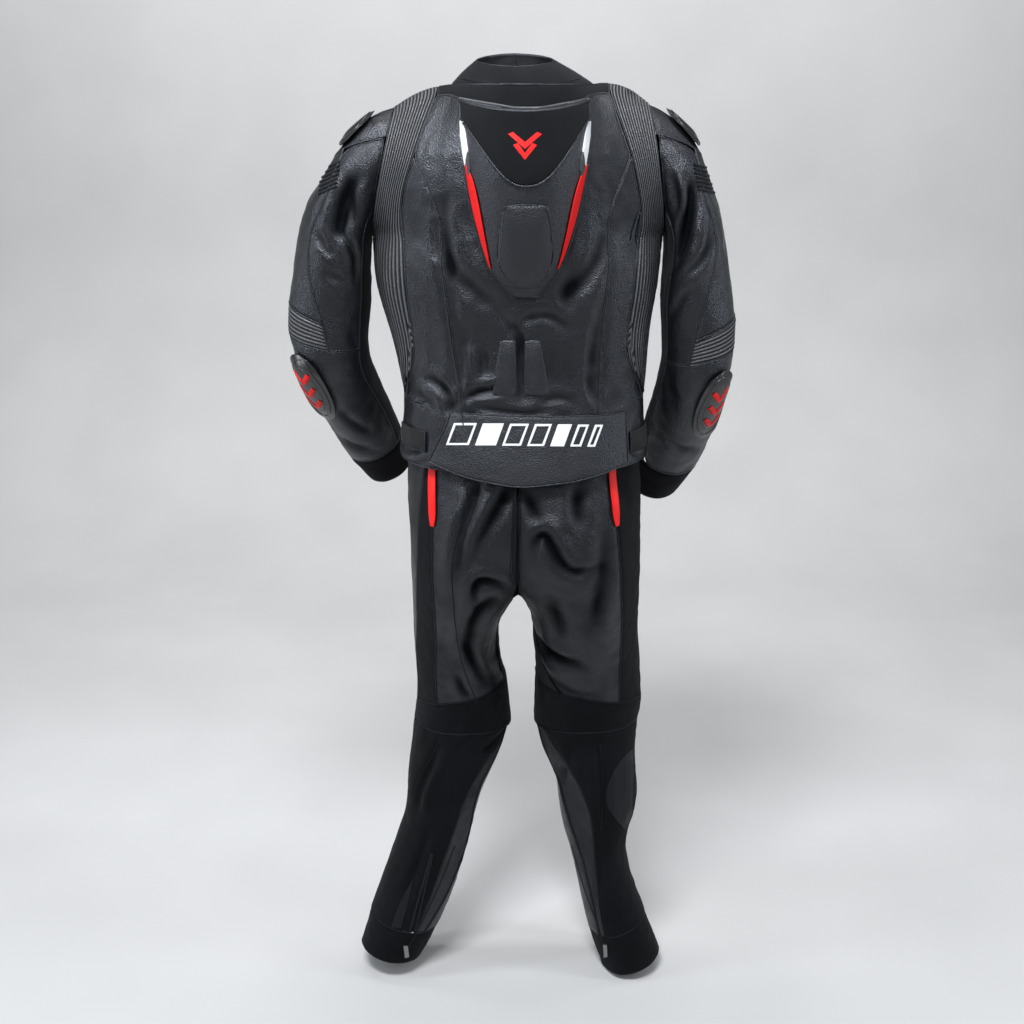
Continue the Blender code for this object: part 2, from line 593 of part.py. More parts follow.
def blade(side):
    """Inner seam of the accordion, which curves to the side at its lower tip."""
    sign = -1 if side == "L" else 1

    def at(rows):
        rows = np.asarray(rows, float)
        t = np.clip((CURVE - rows) / (CURVE - TIP), 0, 1)
        inside = BLADE[side](np.maximum(rows, 0.32))
        return inside + (sign * 0.955 - inside) * t**2.2

    return at


def princess(side):
    def at(rows):
        rows = np.asarray(rows, float)
        apart = (0.006 if side == "L" else -0.006) * (np.abs(rows - APEX) < 1e-6)
        return np.where(rows > APEX - 1e-6, blade(side)(rows) + apart, PRINCESS[side](rows))

    return at


ROWS = np.array(BODY_ROWS)
rib_columns = 2 * RIBS
wave = np.tile([0.0, 1.0], RIBS + 1)[: rib_columns + 1]
wave[-1] = 0
keep = list(range(0, rib_columns, 5)) + [rib_columns]


def arm_out(side, turn):
    """Direction shared by the body's edge and the sleeve's first section, at degrees round the armhole."""
    turn = np.asarray(turn, float) % 360
    s = 0 * turn + (-0.985 if side == "L" else 0.985)
    rise = np.clip(np.where(turn <= 180, 1 - turn / 180, turn / 180 - 1), 0.012, 0.985)
    along = ARMPIT + (1 - ARMPIT) * rise
    behind, before = normals(BACK, s, along), normals(FRONT, s, along)
    both = (np.abs(turn - 180) < 0.5) | (turn < 0.5) | (turn > 359.5)
    own = np.where((turn < 180)[..., None], behind, before)
    own = np.where(both[..., None], unit(behind + before), own)
    joined = meet(own, normals(SLEEVE_FORM[side], turn, 0 * turn + 0.012))
    pit = np.clip(1 - np.abs(turn - 180) / 40, 0, 1)[..., None]
    joined[..., 0] *= 1 - np.clip(1.6 - np.abs(turn - 180) / 40, 0, 1)
    return joined * (1 - pit) + np.array([0.0, 0.0, -1.3]) * pit


def arm_turn(rows, which):
    rise = (np.asarray(rows, float) - ARMPIT) / (1 - ARMPIT)
    return 180 * (1 - rise) if which == "back" else 180 + 180 * rise


def shoulder_join(s):
    s = np.asarray(s, float)
    return meet(normals(BACK, s, 0 * s + 0.992), normals(FRONT, s, 0 * s + 0.992))


def side_join(side, rows):
    s = -1.0 if side == "L" else 1.0
    rows = np.asarray(rows, float)
    out = np.stack([0 * rows + s, 0 * rows, 0 * rows], -1)
    return out


for side in "LR":
    sign = -1 if side == "L" else 1
    # accordion panel over the shoulder blade
    rows = ROWS[ROWS >= TIP - 1e-9]
    turn, along = across(fixed(sign), blade(side), rows, rib_columns)
    points = BACK(turn, along)
    pitch = np.linalg.norm(points[:, -1] - points[:, 0], axis=-1) / RIBS
    high = np.minimum(RIB_HEIGHT, 0.28 * pitch)[:, None] * wave[None, :]
    high[0] = high[-1] = 0
    arm = rows > ARMPIT - 1e-6
    joins = [
        ((~arm, 0), side_join(side, rows[~arm])),
        ((-1, slice(None)), shoulder_join(turn[-1])),
        ((arm, 0), arm_out(side, arm_turn(rows[arm], "back"))),
    ]
    panel(f"accordion_{side}", BACK, turn, along, RIBBED, joins=joins, ribs=high, fine=keep)
    # back side panel, between the princess seam and the accordion, then out to the side
    below = ROWS[ROWS <= TIP - 1e-6]
    above = ROWS[(ROWS >= TIP - 1e-6) & (ROWS < APEX - 1e-6)]
    rows = np.concatenate([below, [TIP - 0.006], above, [APEX]])
    outside = lambda r, side=side, sign=sign: np.where(r < TIP - 1e-3, float(sign), blade(side)(r))
    turn, along = across(outside, princess(side), rows, 5)
    low = rows < TIP - 1e-3
    panel(f"back_side_{side}", BACK, turn, along, LEATHER, joins=[((low, 0), side_join(side, rows[low]))])

rows = ROWS[ROWS <= YOKE_LOW + 1e-9]
edge_rows = np.concatenate([rows[rows < APEX - 1e-6], [APEX], [APEX + 0.004], rows[rows > APEX + 0.005]])
turn, along = across(princess("L"), princess("R"), edge_rows, 12)
pins = []
for side, column in (("L", 0), ("R", -1)):
    low, high = (BACK(blade(side)(np.array([r])), np.array([r]))[0] for r in (APEX, 0.905))
    pins.append(((int(np.argmin(np.abs(edge_rows - APEX - 0.004))), column), low + (high - low) * 0.1))
panel("back_centre", BACK, turn, along, LEATHER, pins=pins)

# ---------------------------------------------------------------- collar and yoke
COLLAR = Table(
    "way x y z",  # way: 0 at the middle of the back, 1 at the side, 2 at the middle of the front
    [
        (0.0, 0.000, -0.060, 0.0120),
        (0.25, 0.021, -0.056, 0.0130),
        (0.5, 0.038, -0.045, 0.0150),
        (0.75, 0.049, -0.029, 0.0175),
        (1.0, 0.053, -0.008, 0.0190),
        (1.25, 0.050, 0.014, 0.0210),
        (1.5, 0.040, 0.032, 0.0235),
        (1.75, 0.023, 0.045, 0.0260),
        (2.0, 0.000, 0.050, 0.0270),
    ],
)


def collar(which):
    """Stand collar: from the neckline (0) to its top edge (1); -1 to 1 across, as the body below it."""
    body_form = BACK if which == "back" else FRONT

    def at(s, up):
        s, up = np.broadcast_arrays(np.asarray(s, float), np.asarray(up, float))
        base = body_form(s * NECK_SHARE, 1.0)
        way = np.abs(s) if which == "back" else 2 - np.abs(s)
        top_x = COLLAR.at("x", way) * np.sign(s) - 0.004
        top = np.stack([top_x, COLLAR.at("y", way), COLLAR.at("z", way)], -1)
        bow = 0.03 * np.sin(np.clip(up, 0, 1) * math.pi)[..., None]
        mix = up[..., None]
        points = base * (1 - mix) + top * mix
        push = np.stack([base[..., 0] - top[..., 0], base[..., 1] - top[..., 1], 0 * up + 0.03], -1)
        return points + push * bow

    return at


COLLAR_BACK, COLLAR_FRONT = collar("back"), collar("front")
DOMAIN[COLLAR_BACK] = ((-1, 1), lambda v: np.stack([0 * v, 0 * v, 0 * v - 0.03], -1))
DOMAIN[COLLAR_FRONT] = DOMAIN[COLLAR_BACK]
NECK = np.linspace(-1, 1, 11)


def neck_join(which, s):
    """Direction shared by the collar and the body at the neckline."""
    s = np.asarray(s, float)
    form, ring = (BACK, COLLAR_BACK) if which == "back" else (FRONT, COLLAR_FRONT)
    inner = np.clip(s, -0.96, 0.96)
    return meet(normals(form, inner * NECK_SHARE, 0 * s + 0.985), normals(ring, inner, 0 * s + 0.05))


def neck_corner(which, s):
    """The same, but at the shoulder corners all four pieces that meet there share one direction."""
    s = np.asarray(s, float)
    out = neck_join(which, s)
    both = unit(neck_join("back", s) + neck_join("front", s)) * 1.15
    return np.where((np.abs(s) > 0.999)[:, None], both, out)


def collar_side(up):
    s = np.ones_like(np.asarray(up, float))
    up = np.asarray(up, float)
    return meet(normals(COLLAR_BACK, 0.97 * s, up), normals(COLLAR_FRONT, 0.97 * s, up))


UP = np.linspace(0, 1, 4)
turn, along = np.meshgrid(NECK, UP)
mirror = np.array([-1.0, 1.0, 1.0])
joins = [
    ((slice(None), -1), collar_side(UP)),
    ((slice(None), 0), collar_side(UP) * mirror),
    ((0, slice(None)), neck_corner("back", NECK)),
]
panel("collar_back", COLLAR_BACK, turn, along, STRETCH, thick=WALL, joins=joins)
for side, half in (("L", NECK[NECK < 1e-6]), ("R", NECK[NECK > -1e-6])):
    turn, along = np.meshgrid(half, UP)
    edge = (slice(None), 0) if side == "L" else (slice(None), -1)
    out = collar_side(UP) * (mirror if side == "L" else 1)
    joins = [(edge, out), ((0, slice(None)), neck_corner("front", half))]
    panel(f"collar_front_{side}", COLLAR_FRONT, turn, along, LEATHER, joins=joins)

rows = ROWS[ROWS >= YOKE_LOW - 1e-9]
even, along = across(blade("L"), blade("R"), rows, 12)
ring = np.concatenate([even[-1:, 0], NECK * NECK_SHARE, even[-1:, -1]])
share = np.linspace(0, 1, len(rows))[:, None]
turn = even + (ring - even[-1]) * share
top = neck_corner("back", NECK)
ends = shoulder_join(np.array([turn[-1, 0], turn[-1, -1]]))
joins = [((-1, slice(1, -1)), top), ((-1, 0), ends[0]), ((-1, -1), ends[1])]
panel("neck_yoke", BACK, turn, along, STRETCH, thick=STRETCH_WALL, joins=joins)

# ---------------------------------------------------------------- jacket front
for side in "LR":
    sign = -1 if side == "L" else 1
    neck = np.linspace(0, NECK_SHARE, 6) if side == "R" else -np.linspace(0, NECK_SHARE, 6)
    shoulder = np.linspace(NECK_SHARE, 1, 4)[1:] * sign
    columns = np.concatenate([neck, shoulder])
    turn, along = np.meshgrid(columns, ROWS)
    arm = ROWS > ARMPIT - 1e-6
    joins = [
        ((~arm, -1), side_join(side, ROWS[~arm])),
        ((-1, slice(5, None)), shoulder_join(columns[5:])),
        ((-1, slice(0, 6)), neck_corner("front", columns[:6] / NECK_SHARE)),
        ((arm, -1), arm_out(side, arm_turn(ROWS[arm], "front"))),
    ]
    panel(f"front_{side}", FRONT, turn, along, LEATHER, joins=joins)

# ---------------------------------------------------------------- hump and what lies on the back
HUMP = Table(
    "down z left right high",  # outline seen from the back, and how far it stands off in the middle
    [
        (0.00, -0.030, -0.079, 0.095, 0.046),
        (0.25, -0.090, -0.075, 0.095, 0.047),
        (0.50, -0.152, -0.067, 0.086, 0.040),
        (0.75, -0.215, -0.052, 0.070, 0.028),
        (0.90, -0.258, -0.036, 0.051, 0.017),
        (1.00, -0.286, -0.010, 0.028, 0.008),
    ],
)


def at_plan(form, x, z, near=(0.0, 0.6)):
    """Points, and outward normals, of a form below plan positions (x, z) seen from the back."""
    u, v = np.full(x.shape, float(near[0])), np.full(x.shape, float(near[1]))
    for _ in range(25):
        p = form(u, v)
        h = 1e-4
        pu, pv = (form(u + h, v) - p) / h, (form(u, v + h) - p) / h
        det = pu[..., 0] * pv[..., 2] - pv[..., 0] * pu[..., 2]
        det = np.where(np.abs(det) < 1e-9, 1e-9, det)
        ex, ez = x - p[..., 0], z - p[..., 2]
        if np.abs(ex).max() + np.abs(ez).max() < 4e-6:
            break
        u = np.clip(u + np.clip((ex * pv[..., 2] - ez * pv[..., 0]) / det, -0.2, 0.2), -0.99, 0.99)
        v = np.clip(v + np.clip((pu[..., 0] * ez - pu[..., 2] * ex) / det, -0.1, 0.1), -0.06, 0.995)
    return form(u, v), normals(form, u, v)


def hump(p, down):
    """Outer surface of the hump: -1 to 1 across its outline, 0 to 1 down it."""
    p, down = np.broadcast_arrays(np.asarray(p, float), np.asarray(down, float))
    x = HUMP.at("left", down) * (1 - p) / 2 + HUMP.at("right", down) * (1 + p) / 2
    z = HUMP.at("z", down) - 0.012 * (1 - p**2) * (1 - down) ** 2 * (down < 0.5)
    base, out = at_plan(BACK, x, z, (0.0, 0.8))
    high = HUMP.at("high", down) * (1 - np.abs(p) ** 2.6) ** 0.8 + 0.005
    away = unit(out * np.array([0.3, 1.0, 0.15]) + np.array([0.0, -0.6, 0.0]))
    return base, out, base + away * high[..., None]


def hump_form(p, down):
    return hump(p, down)[2]


DOMAIN[hump_form] = ((-1, 1), lambda v: np.stack([0 * v + 0.008, 0 * v + 0.02, HUMP.at("z", v) - 0.02], -1))


def tree(names):
    """Collision tree of pieces already made, to lay others on."""
    points, faces = [], []
    for name in names:
        data = bpy.data.objects[name].data
        data.calc_loop_triangles()
        start = len(points)
        points += [v.co.copy() for v in data.vertices]
        faces += [[start + i for i in f.vertices] for f in data.loop_triangles]
    return BVHTree.FromPolygons(points, faces)


def lie_on(points, out, under, clear=CLEAR):
    """Moves points along `out` until each stands `clear` off the pieces under it."""
    made = points.copy()
    for index in np.ndindex(points.shape[:-1]):
        p, n = Vector(points[index]), Vector(out[index])
        hit = under.ray_cast(p + n * 0.03, -n, 0.06)
        if hit[0] is not None:
            made[index] = hit[0] + n * clear
        else:
            made[index] = p + n * clear
    return made


def settle(low, out, under, clear):
    """Raises the vertices of a covering grid until its faces, not only its vertices, clear what is below."""
    for _ in range(5):
        lift = np.zeros(low.shape[:2])
        for fy in (0.0, 0.25, 0.5, 0.75):
            for fx in (0.0, 0.25, 0.5, 0.75):
                near = ((0, 0, (1 - fx) * (1 - fy)), (0, 1, fx * (1 - fy)))
                weights = near + ((1, 0, (1 - fx) * fy), (1, 1, fx * fy))
                rows, columns = low.shape[0] - 1, low.shape[1] - 1
                spot = sum(low[j : j + rows, i : i + columns] * w for j, i, w in weights)
                way = unit(sum(out[j : j + rows, i : i + columns] * w for j, i, w in weights))
                for j in range(rows):
                    for i in range(columns):
                        p, n = Vector(spot[j, i]), Vector(way[j, i])
                        hit = under.ray_cast(p + n * 0.02, -n, 0.03)
                        if hit[0] is not None:
                            need = 0.75 * clear - (p - hit[0]).dot(n)
                            if need > 0:
                                for dj, di, w in weights:
                                    if w > 0:
                                        lift[j + dj, i + di] = max(lift[j + dj, i + di], need * 1.1)
        if lift.max() < 1e-6:
            break
        low = low + out * lift[..., None]
    return low


def cover(name, points, out, under, thick, material, edge=None, clear=CLEAR):
    """A piece that lies on others: its underside follows them, its border is thinner by `edge`."""
    low = settle(lie_on(points, out, under, clear), out, under, clear)
    high = np.full(points.shape[:-1], float(thick))
    if edge:
        high[0] = high[-1] = edge
        high[:, 0] = high[:, -1] = edge
    return wall(name, low + out * high[..., None], low, material)


def disc(columns, rows, power_of=0.5):
    """A square grid drawn to a rounded outline, as (u, v) from -1 to 1."""
    u, v = np.meshgrid(np.linspace(-1, 1, columns + 1), np.linspace(-1, 1, rows + 1))
    return u * np.sqrt(1 - power_of * v**2), v * np.sqrt(1 - power_of * u**2)


back_tree = tree(["back_centre", "back_side_L", "back_side_R", "neck_yoke"])
down = np.array([0, 0.04, 0.10, 0.17, 0.25, 0.33, 0.41, 0.50, 0.58, 0.66, 0.74, 0.82, 0.89, 0.95, 1.0])
p, down = np.meshgrid(np.array([-1, -0.93, -0.8, -0.6, -0.35, 0, 0.35, 0.6, 0.8, 0.93, 1.0]), down)
base, out, top = hump(p, down)
base = settle(lie_on(base, out, back_tree, 0.0015), out, back_tree, 0.0015)
wall("hump_shell", top, base, LEATHER)

shell_tree = tree(["hump_shell"])
V_EDGE = Table("p low", [(0, 0.415), (0.2, 0.41), (0.35, 0.37), (0.6, 0.26), (0.8, 0.16), (1.0, 0.085)])
ACROSS = np.array([-0.965, -0.93, -0.865, -0.8, -0.6, -0.475, -0.35, -0.175, 0])
p, t = np.meshgrid(np.concatenate([ACROSS, -ACROSS[-2::-1]]), np.linspace(0, 1, 7))
down = 0.008 + (V_EDGE.at("low", np.abs(p)) - 0.008) * t
cover("hump_top", hump_form(p, down), normals(hump_form, p, down), shell_tree, 0.0022, STRETCH, 0.0014)
u, v = np.meshgrid(np.linspace(-1, 1, 6), np.linspace(0, 1, 7))
down = 0.53 + v * 0.40 + 0.02 * (1 - u**2) * v
p = u * (0.38 + 0.36 * v)
cover("hump_pad", hump_form(p, down), normals(hump_form, p, down), shell_tree, 0.0042, LEATHER, 0.0016)
for side in "LR":
    sign = -1 if side == "L" else 1
    v, u = np.meshgrid(np.linspace(0, 1, 11), np.linspace(0, 1, 3))
    down = 0.33 + 0.53 * v
    wide = 0.015 + 0.12 * np.sin(math.pi * np.clip(v, 0, 1) ** 0.8) ** 0.6
    p = sign * (0.955 - 0.04 * v - wide * u)
    cover(f"hump_red_{side}", hump_form(p, down), normals(hump_form, p, down), shell_tree, 0.0010, RED)

# lumbar pads, flap and waist tabs
for side in "LR":
    u, v = disc(4, 6, 0.10)
    u, v = (u + 1) / 2, (v + 1) / 2
    if side == "L":
        low_x, top_x = (-0.037, -0.002), (-0.025, -0.003)
    else:
        low_x, top_x = (0.008, 0.045), (0.009, 0.031)
    x = (low_x[0] + (low_x[1] - low_x[0]) * u) * (1 - v) + (top_x[0] + (top_x[1] - top_x[0]) * u) * v
    z = -0.428 + 0.080 * v
    points, out = at_plan(BACK, x, z)
    cover(f"lumbar_pad_{side}", points, out, back_tree, 0.0038, LEATHER, 0.0015)
u, v = np.meshgrid(np.linspace(0, 1, 15), np.linspace(0, 1, 6))
left = -0.096 - 0.031 * np.clip(v, 0, 1) ** 1.2
right = 0.155 + 0.002 * v
x = left + (right - left) * u
hang = np.interp(u, [0, 0.2, 0.45, 0.75, 1.0], [-0.528, -0.546, -0.558, -0.550, -0.534])
z = (-0.453 - 0.006 * u) * (1 - v) + hang * v
points, out = at_plan(BACK, x, z, (0.0, 0.1))
under = tree(["back_centre", "back_side_L", "back_side_R"])
inner = settle(lie_on(points, out, under, FLAP_EDGE), out, under, FLAP_EDGE)
inner = inner + out * (FLAP_CLEAR * v)[..., None]
wall("lumbar_flap", inner + out * FLAP_WALL, inner, LEATHER)
side_tree = tree(["back_side_L", "back_side_R", "front_L", "front_R"])
for side, x0, x1, z0, z1 in (("L", -0.1695, -0.133, -0.487, -0.517), ("R", 0.1625, 0.1865, -0.491, -0.523)):
    u, v = np.meshgrid(np.linspace(0, 1, 5), np.linspace(0, 1, 4))
    points, out = at_plan(BACK, x0 + (x1 - x0) * u, z1 + (z0 - z1) * v, (-0.7 if side == "L" else 0.7, 0.1))
    cover(f"waist_tab_{side}", points, out, side_tree, 0.0022, STRETCH)

# ---------------------------------------------------------------- front zip
front_tree = tree(["front_L", "front_R"])
u, along = np.meshgrid(np.linspace(-1, 1, 3), np.concatenate([ROWS[:-1], [0.992]]))
half = 0.5 * ZIP_WIDTH / 0.19
turn = 0.006 + half * u * 0.63
points, out = FRONT(turn, along), normals(FRONT, turn, along)
cover("main_zip", points, out, front_tree, 0.0018, STRETCH)

slot = FRONT(np.array(0.006), np.array(0.955))
lean = normals(FRONT, np.array(0.006), np.array(0.955))


def block(name, size, middle, out, material, bevel):
    """A small bevelled block standing on the zip, its thin side along `out`."""
    mesh = bmesh.new()
    bmesh.ops.create_cube(mesh, size=1)
    side_way = np.array([1.0, 0.0, 0.0])
    down = np.cross(out, side_way)
    for vertex in mesh.verts:
        c = np.array(vertex.co)
        vertex.co = middle + side_way * c[0] * size[0] + down * c[1] * size[1] + out * c[2] * size[2]
    bmesh.ops.bevel(mesh, geom=mesh.edges[:], offset=bevel, segments=1, affect="EDGES")
    return place(name, mesh, material)


flat_out = unit(np.array([0.0, lean[1], lean[2]]))
down = np.cross(np.array([1.0, 0.0, 0.0]), flat_out)
down = down * (-1 if down[2] > 0 else 1)
block("main_zip_slider", (0.010, 0.015, 0.0045), slot + flat_out * 0.0052, flat_out, METAL, 0.0008)
PIVOT = slot + flat_out * 0.00875 + down * 0.001
block("main_zip_pull", (0.008, 0.026, 0.0018), PIVOT + down * 0.0145, flat_out, METAL, 0.0005)

# ---------------------------------------------------------------- sleeves
CAP = Table("turn low", [(-55.16, 0.003), (-43.55, 0.10), (-31.94, 0.165), (-14.52, 0.215), (0, 0.235),
                         (14.52, 0.215), (31.94, 0.165), (43.55, 0.10), (55.16, 0.003)])
OUTER_SEAM = {
    "L": ([(-0.264, -0.157), (-0.291, -0.213), (-0.300, -0.249), (-0.294, -0.282),
        (-0.282, -0.313), (-0.273, -0.361)], 20),
    "R": ([(0.250, -0.143), (0.272, -0.193), (0.281, -0.235), (0.276, -0.271), (0.261, -0.317),
        (0.249, -0.377)], 30),
}
INNER_SEAM = {
    "L": Table("along turn", [(0, 127.7), (0.1, 130), (0.2, 134), (0.3, 138), (0.5, 140),
        (0.66, 145), (0.73, 144),
                              (0.8, 146), (0.87, 148), (0.94, 138), (1.0, 128)]),
    "R": Table("along turn", [(0, 127.7), (0.1, 131), (0.2, 137), (0.3, 142), (0.5, 149),
        (0.66, 156), (0.73, 158),
                              (0.8, 158), (0.87, 152), (0.94, 134), (1.0, 122)]),
}
ELBOW = {"L": (0.620, 0.678), "R": (0.635, 0.692)}
CUFF = 0.945
FRONT_SEAM = 255.48 - 360
TOP_ROWS = np.array([0, 0.07, 0.14, 0.22, 0.30, 0.38, 0.46, 0.54])


def fade(rows):
    return np.clip(1 - np.asarray(rows, float) / 0.38, 0, 1)


def ruled(form, left, right, low, high):
    """The strip of a form between two sections, straight along, so that its edges are straight too."""

    def at(share, along):
        share, along = np.broadcast_arrays(np.asarray(share, float), np.asarray(along, float))
        t = ((along - low) / (high - low))[..., None]
        a, b = (left(np.array([r])) for r in (low, high))
        c, d = (right(np.array([r])) for r in (low, high))
        return form(a + (c - a) * share, low) * (1 - t) + form(b + (d - b) * share, high) * t

    DOMAIN[at] = ((0, 1), DOMAIN[form][1])
    return at


def ring_turns(which):
    rows = ROWS[ROWS > ARMPIT - 1e-6]
    return arm_turn(rows, which)


BACK_TURNS, FRONT_TURNS = ring_turns("back")[::-1], ring_turns("front") - 360
for side in "LR":
    form = SLEEVE_FORM[side]
    spots, first = OUTER_SEAM[side]
    spots = seam(form, spots, -30, 130, (first, 0.28))

    def outer_seam(rows, spots=spots):
        rows = np.asarray(rows, float)
        t = np.clip((rows - 0.165) / 0.10, 0, 1)
        return 31.94 * (1 - t) + spots(np.maximum(rows, 0.20)) * t

    def inner_seam(rows, side=side):
        return INNER_SEAM[side].at("turn", np.asarray(rows, float))

    # cap: from the armhole to its own curved lower seam
    back_turns = BACK_TURNS[(BACK_TURNS > 1) & (BACK_TURNS < 56)]
    turns = np.concatenate([FRONT_TURNS[FRONT_TURNS > -56], back_turns])
    low = CAP.at("low", turns)
    share = np.array([0, 0.3, 0.65, 1.0])[:, None]
    turn, along = np.broadcast_arrays(turns[None, :], low[None, :] * share)
    panel(f"sleeve_cap_{side}", form, turn, along, LEATHER, joins=[((0, slice(None)), arm_out(side, turns))])

    # outer panel: below the cap, and from the front part of the armhole
    cap_low = np.where(np.abs(turns) > 55, 0.006, low)
    keep_low = turns < 32.5
    top_turn = np.concatenate([FRONT_TURNS[(FRONT_TURNS > -105) & (FRONT_TURNS < -56)], turns[keep_low]])
    top_low = np.concatenate([np.zeros(len(top_turn) - keep_low.sum()), cap_low[keep_low]])
    rows = np.concatenate([TOP_ROWS, [ELBOW[side][0]]])
    f = fade(rows)[:, None]
    along = rows[:, None] + top_low[None, :] * f
    even = np.linspace(0, 1, len(top_turn))[None, :]
    left = np.full(along[:, :1].shape, FRONT_SEAM)
    right = outer_seam(along[:, -1:])
    turn = (left + (right - left) * even) * (1 - f) + top_turn[None, :] * f
    turn[:, -1] = np.where(rows > 0, right[:, 0], 31.94)
    at_arm = top_low < 1e-9
    joins = [((0, at_arm), arm_out(side, top_turn[at_arm]))]
    panel(f"sleeve_outer_{side}", form, turn, along, LEATHER, joins=joins)
    outer_columns = len(top_turn) - 1

    # back panel: from the back part of the armhole to the elbow
    outer_side = turns >= 31.5
    top_turn = np.concatenate([turns[outer_side], BACK_TURNS[(BACK_TURNS > 56) & (BACK_TURNS < 129)]])
    top_low = np.concatenate([cap_low[outer_side], np.zeros(len(top_turn) - outer_side.sum())])
    rows = np.concatenate([TOP_ROWS, ELBOW[side]])
    f = fade(rows)[:, None]
    along = rows[:, None] + top_low[None, :] * f
    even = np.linspace(0, 1, len(top_turn))[None, :]
    left, right = outer_seam(along[:, :1]), inner_seam(along[:, -1:])
    turn = (left + (right - left) * even) * (1 - f) + top_turn[None, :] * f
    turn[:, 0] = np.where(rows > 0, left[:, 0], 31.94)
    turn[:, -1] = np.where(rows > 0, right[:, 0], 127.74)
    at_arm = top_low < 1e-9
    joins = [((0, at_arm), arm_out(side, top_turn[at_arm]))]
    panel(f"sleeve_back_{side}", form, turn, along, LEATHER, joins=joins)
    back_columns = len(top_turn) - 1

    # elbow ribs, stacked along the sleeve
    rows = np.linspace(*ELBOW[side], 2 * ELBOW_RIBS + 1)
    strip = ruled(form, fixed(FRONT_SEAM), outer_seam, *ELBOW[side])
    turn, along = across(fixed(0), fixed(1), rows, outer_columns)
    high = np.zeros(turn.shape)
    high[1:-1:2, 1:-1] = RIB_HEIGHT
    keep_inner = [0, ELBOW_RIBS, 2 * ELBOW_RIBS]
    ends = [np.asarray(edge(np.array(ELBOW[side]))) for edge in (fixed(FRONT_SEAM), outer_seam)]
    t = (along - ELBOW[side][0]) / (ELBOW[side][1] - ELBOW[side][0])
    first, last = (edge[0] + (edge[1] - edge[0]) * t for edge in ends)
    out = normals(form, first + (last - first) * turn, along)
    joins = [((slice(None), slice(None)), out.transpose(1, 0, 2))]
    panel(f"elbow_ribs_{side}", strip, turn.T, along.T, RIBBED, ribs=high.T, fine=keep_inner, joins=joins)

    # forearm, inner stretch panel and cuff
    low_rows = np.array([ELBOW[side][1], 0.73, 0.775, 0.82, 0.86, 0.905, CUFF])
    turn, along = across(fixed(FRONT_SEAM), outer_seam, low_rows, outer_columns)
    turn2, _ = across(outer_seam, inner_seam, low_rows, back_columns)
    t = np.clip((low_rows - low_rows[0]) / 0.1, 0, 1)[:, None]
    first = np.concatenate([turn[:1], turn2[:1, 1:]], 1)
    share = np.linspace(0, 1, first.shape[1])[None, :]
    even = FRONT_SEAM + (inner_seam(low_rows)[:, None] - FRONT_SEAM) * share
    turn = first * (1 - t) + even * t
    turn[:, -1] = inner_seam(low_rows)
    along = np.repeat(low_rows[:, None], first.shape[1], 1)
    panel(f"forearm_{side}", form, turn, along, LEATHER)
    forearm_low = turn[-1]
    inner_rows = np.concatenate([TOP_ROWS, ELBOW[side], low_rows[1:]])
    turn, along = across(inner_seam, fixed(255.48), inner_rows, 5)
    top_turn = np.concatenate([BACK_TURNS[(BACK_TURNS > 127)], ring_turns("front")[1:4]])
    f = fade(inner_rows)[:, None]
    turn = turn * (1 - f) + top_turn[None, :] * f
    turn[:, 0] = np.where(inner_rows > 0, inner_seam(inner_rows), top_turn[0])
    along[0, 1:-1] = 0.003
    panel(f"sleeve_inner_{side}", form, turn, along, STRETCH, thick=STRETCH_WALL,
          joins=[((0, slice(None)), arm_out(side, top_turn))])
    ring = np.concatenate([forearm_low, turn[-1, 1:]])
    ring[-1] = ring[0] + 360
    turn, along = np.meshgrid(ring, np.array([CUFF, 0.972, 1.0]))
    panel(f"cuff_{side}", form, turn, along, STRETCH, closed=True)

# sliders on the shoulders and elbows
SLIDERS = {"shoulder": {"L": (2, 0.125, 27, 0.070), "R": (2, 0.125, 27, 0.070)},
           "elbow": {"L": (52, 0.768, 32, 0.066), "R": (55, 0.785, 30, 0.068)}}
for side in "LR":
    form = SLEEVE_FORM[side]
    on_sleeve = (("shoulder", ["sleeve_cap_"], 0.0035), ("elbow", ["forearm_", "elbow_ribs_"], 0.0070))
    for kind, under, thick in on_sleeve:
        turn0, along0, half_turn, half_along = SLIDERS[kind][side]
        u, v = disc(5, 6, 0.42)
        turn, along = turn0 + half_turn * u, along0 + half_along * v
        points, out = form(turn, along), normals(form, turn, along)
        base = tree([name + side for name in under])
        low = settle(lie_on(points, out, base, 0.0012), out, base, 0.0012)
        dome = thick * (1 - 0.72 * np.maximum(np.abs(u), np.abs(v)) ** 3)
        wall(f"{kind}_slider_{side}", low + out * dome[..., None], low, HARD)

# ---------------------------------------------------------------- trousers
KNEE = (0.530, 0.588)  # the two seams of the knee band
ANKLE = 0.93
FORK = 0.275  # where the seat seam divides into the inner leg's two seams
UPPER = np.array([0, 0.065, 0.125, 0.18, 0.23, FORK, 0.315, 0.36, 0.41, 0.47, KNEE[0]])
LOWER = np.array([KNEE[1], 0.63, 0.67, 0.71, 0.75, 0.79, 0.84, 0.885, ANKLE])


def line(pairs):
    """A seam from (along, turn) knots."""
    v, u = [p[0] for p in pairs], [p[1] for p in pairs]
    return lambda rows: smooth(v, u, np.clip(rows, v[0], v[-1]))


def spots_of(form, points, low, high, start):
    """(along, turn) knots of a seam laid out as (x, z) seen from the back."""
    found, guess = [], start
    for x, z in points:
        guess = locate(form, x, z, guess[0], guess[1], low, high)
        found.append((guess[1], guess[0]))
    return found


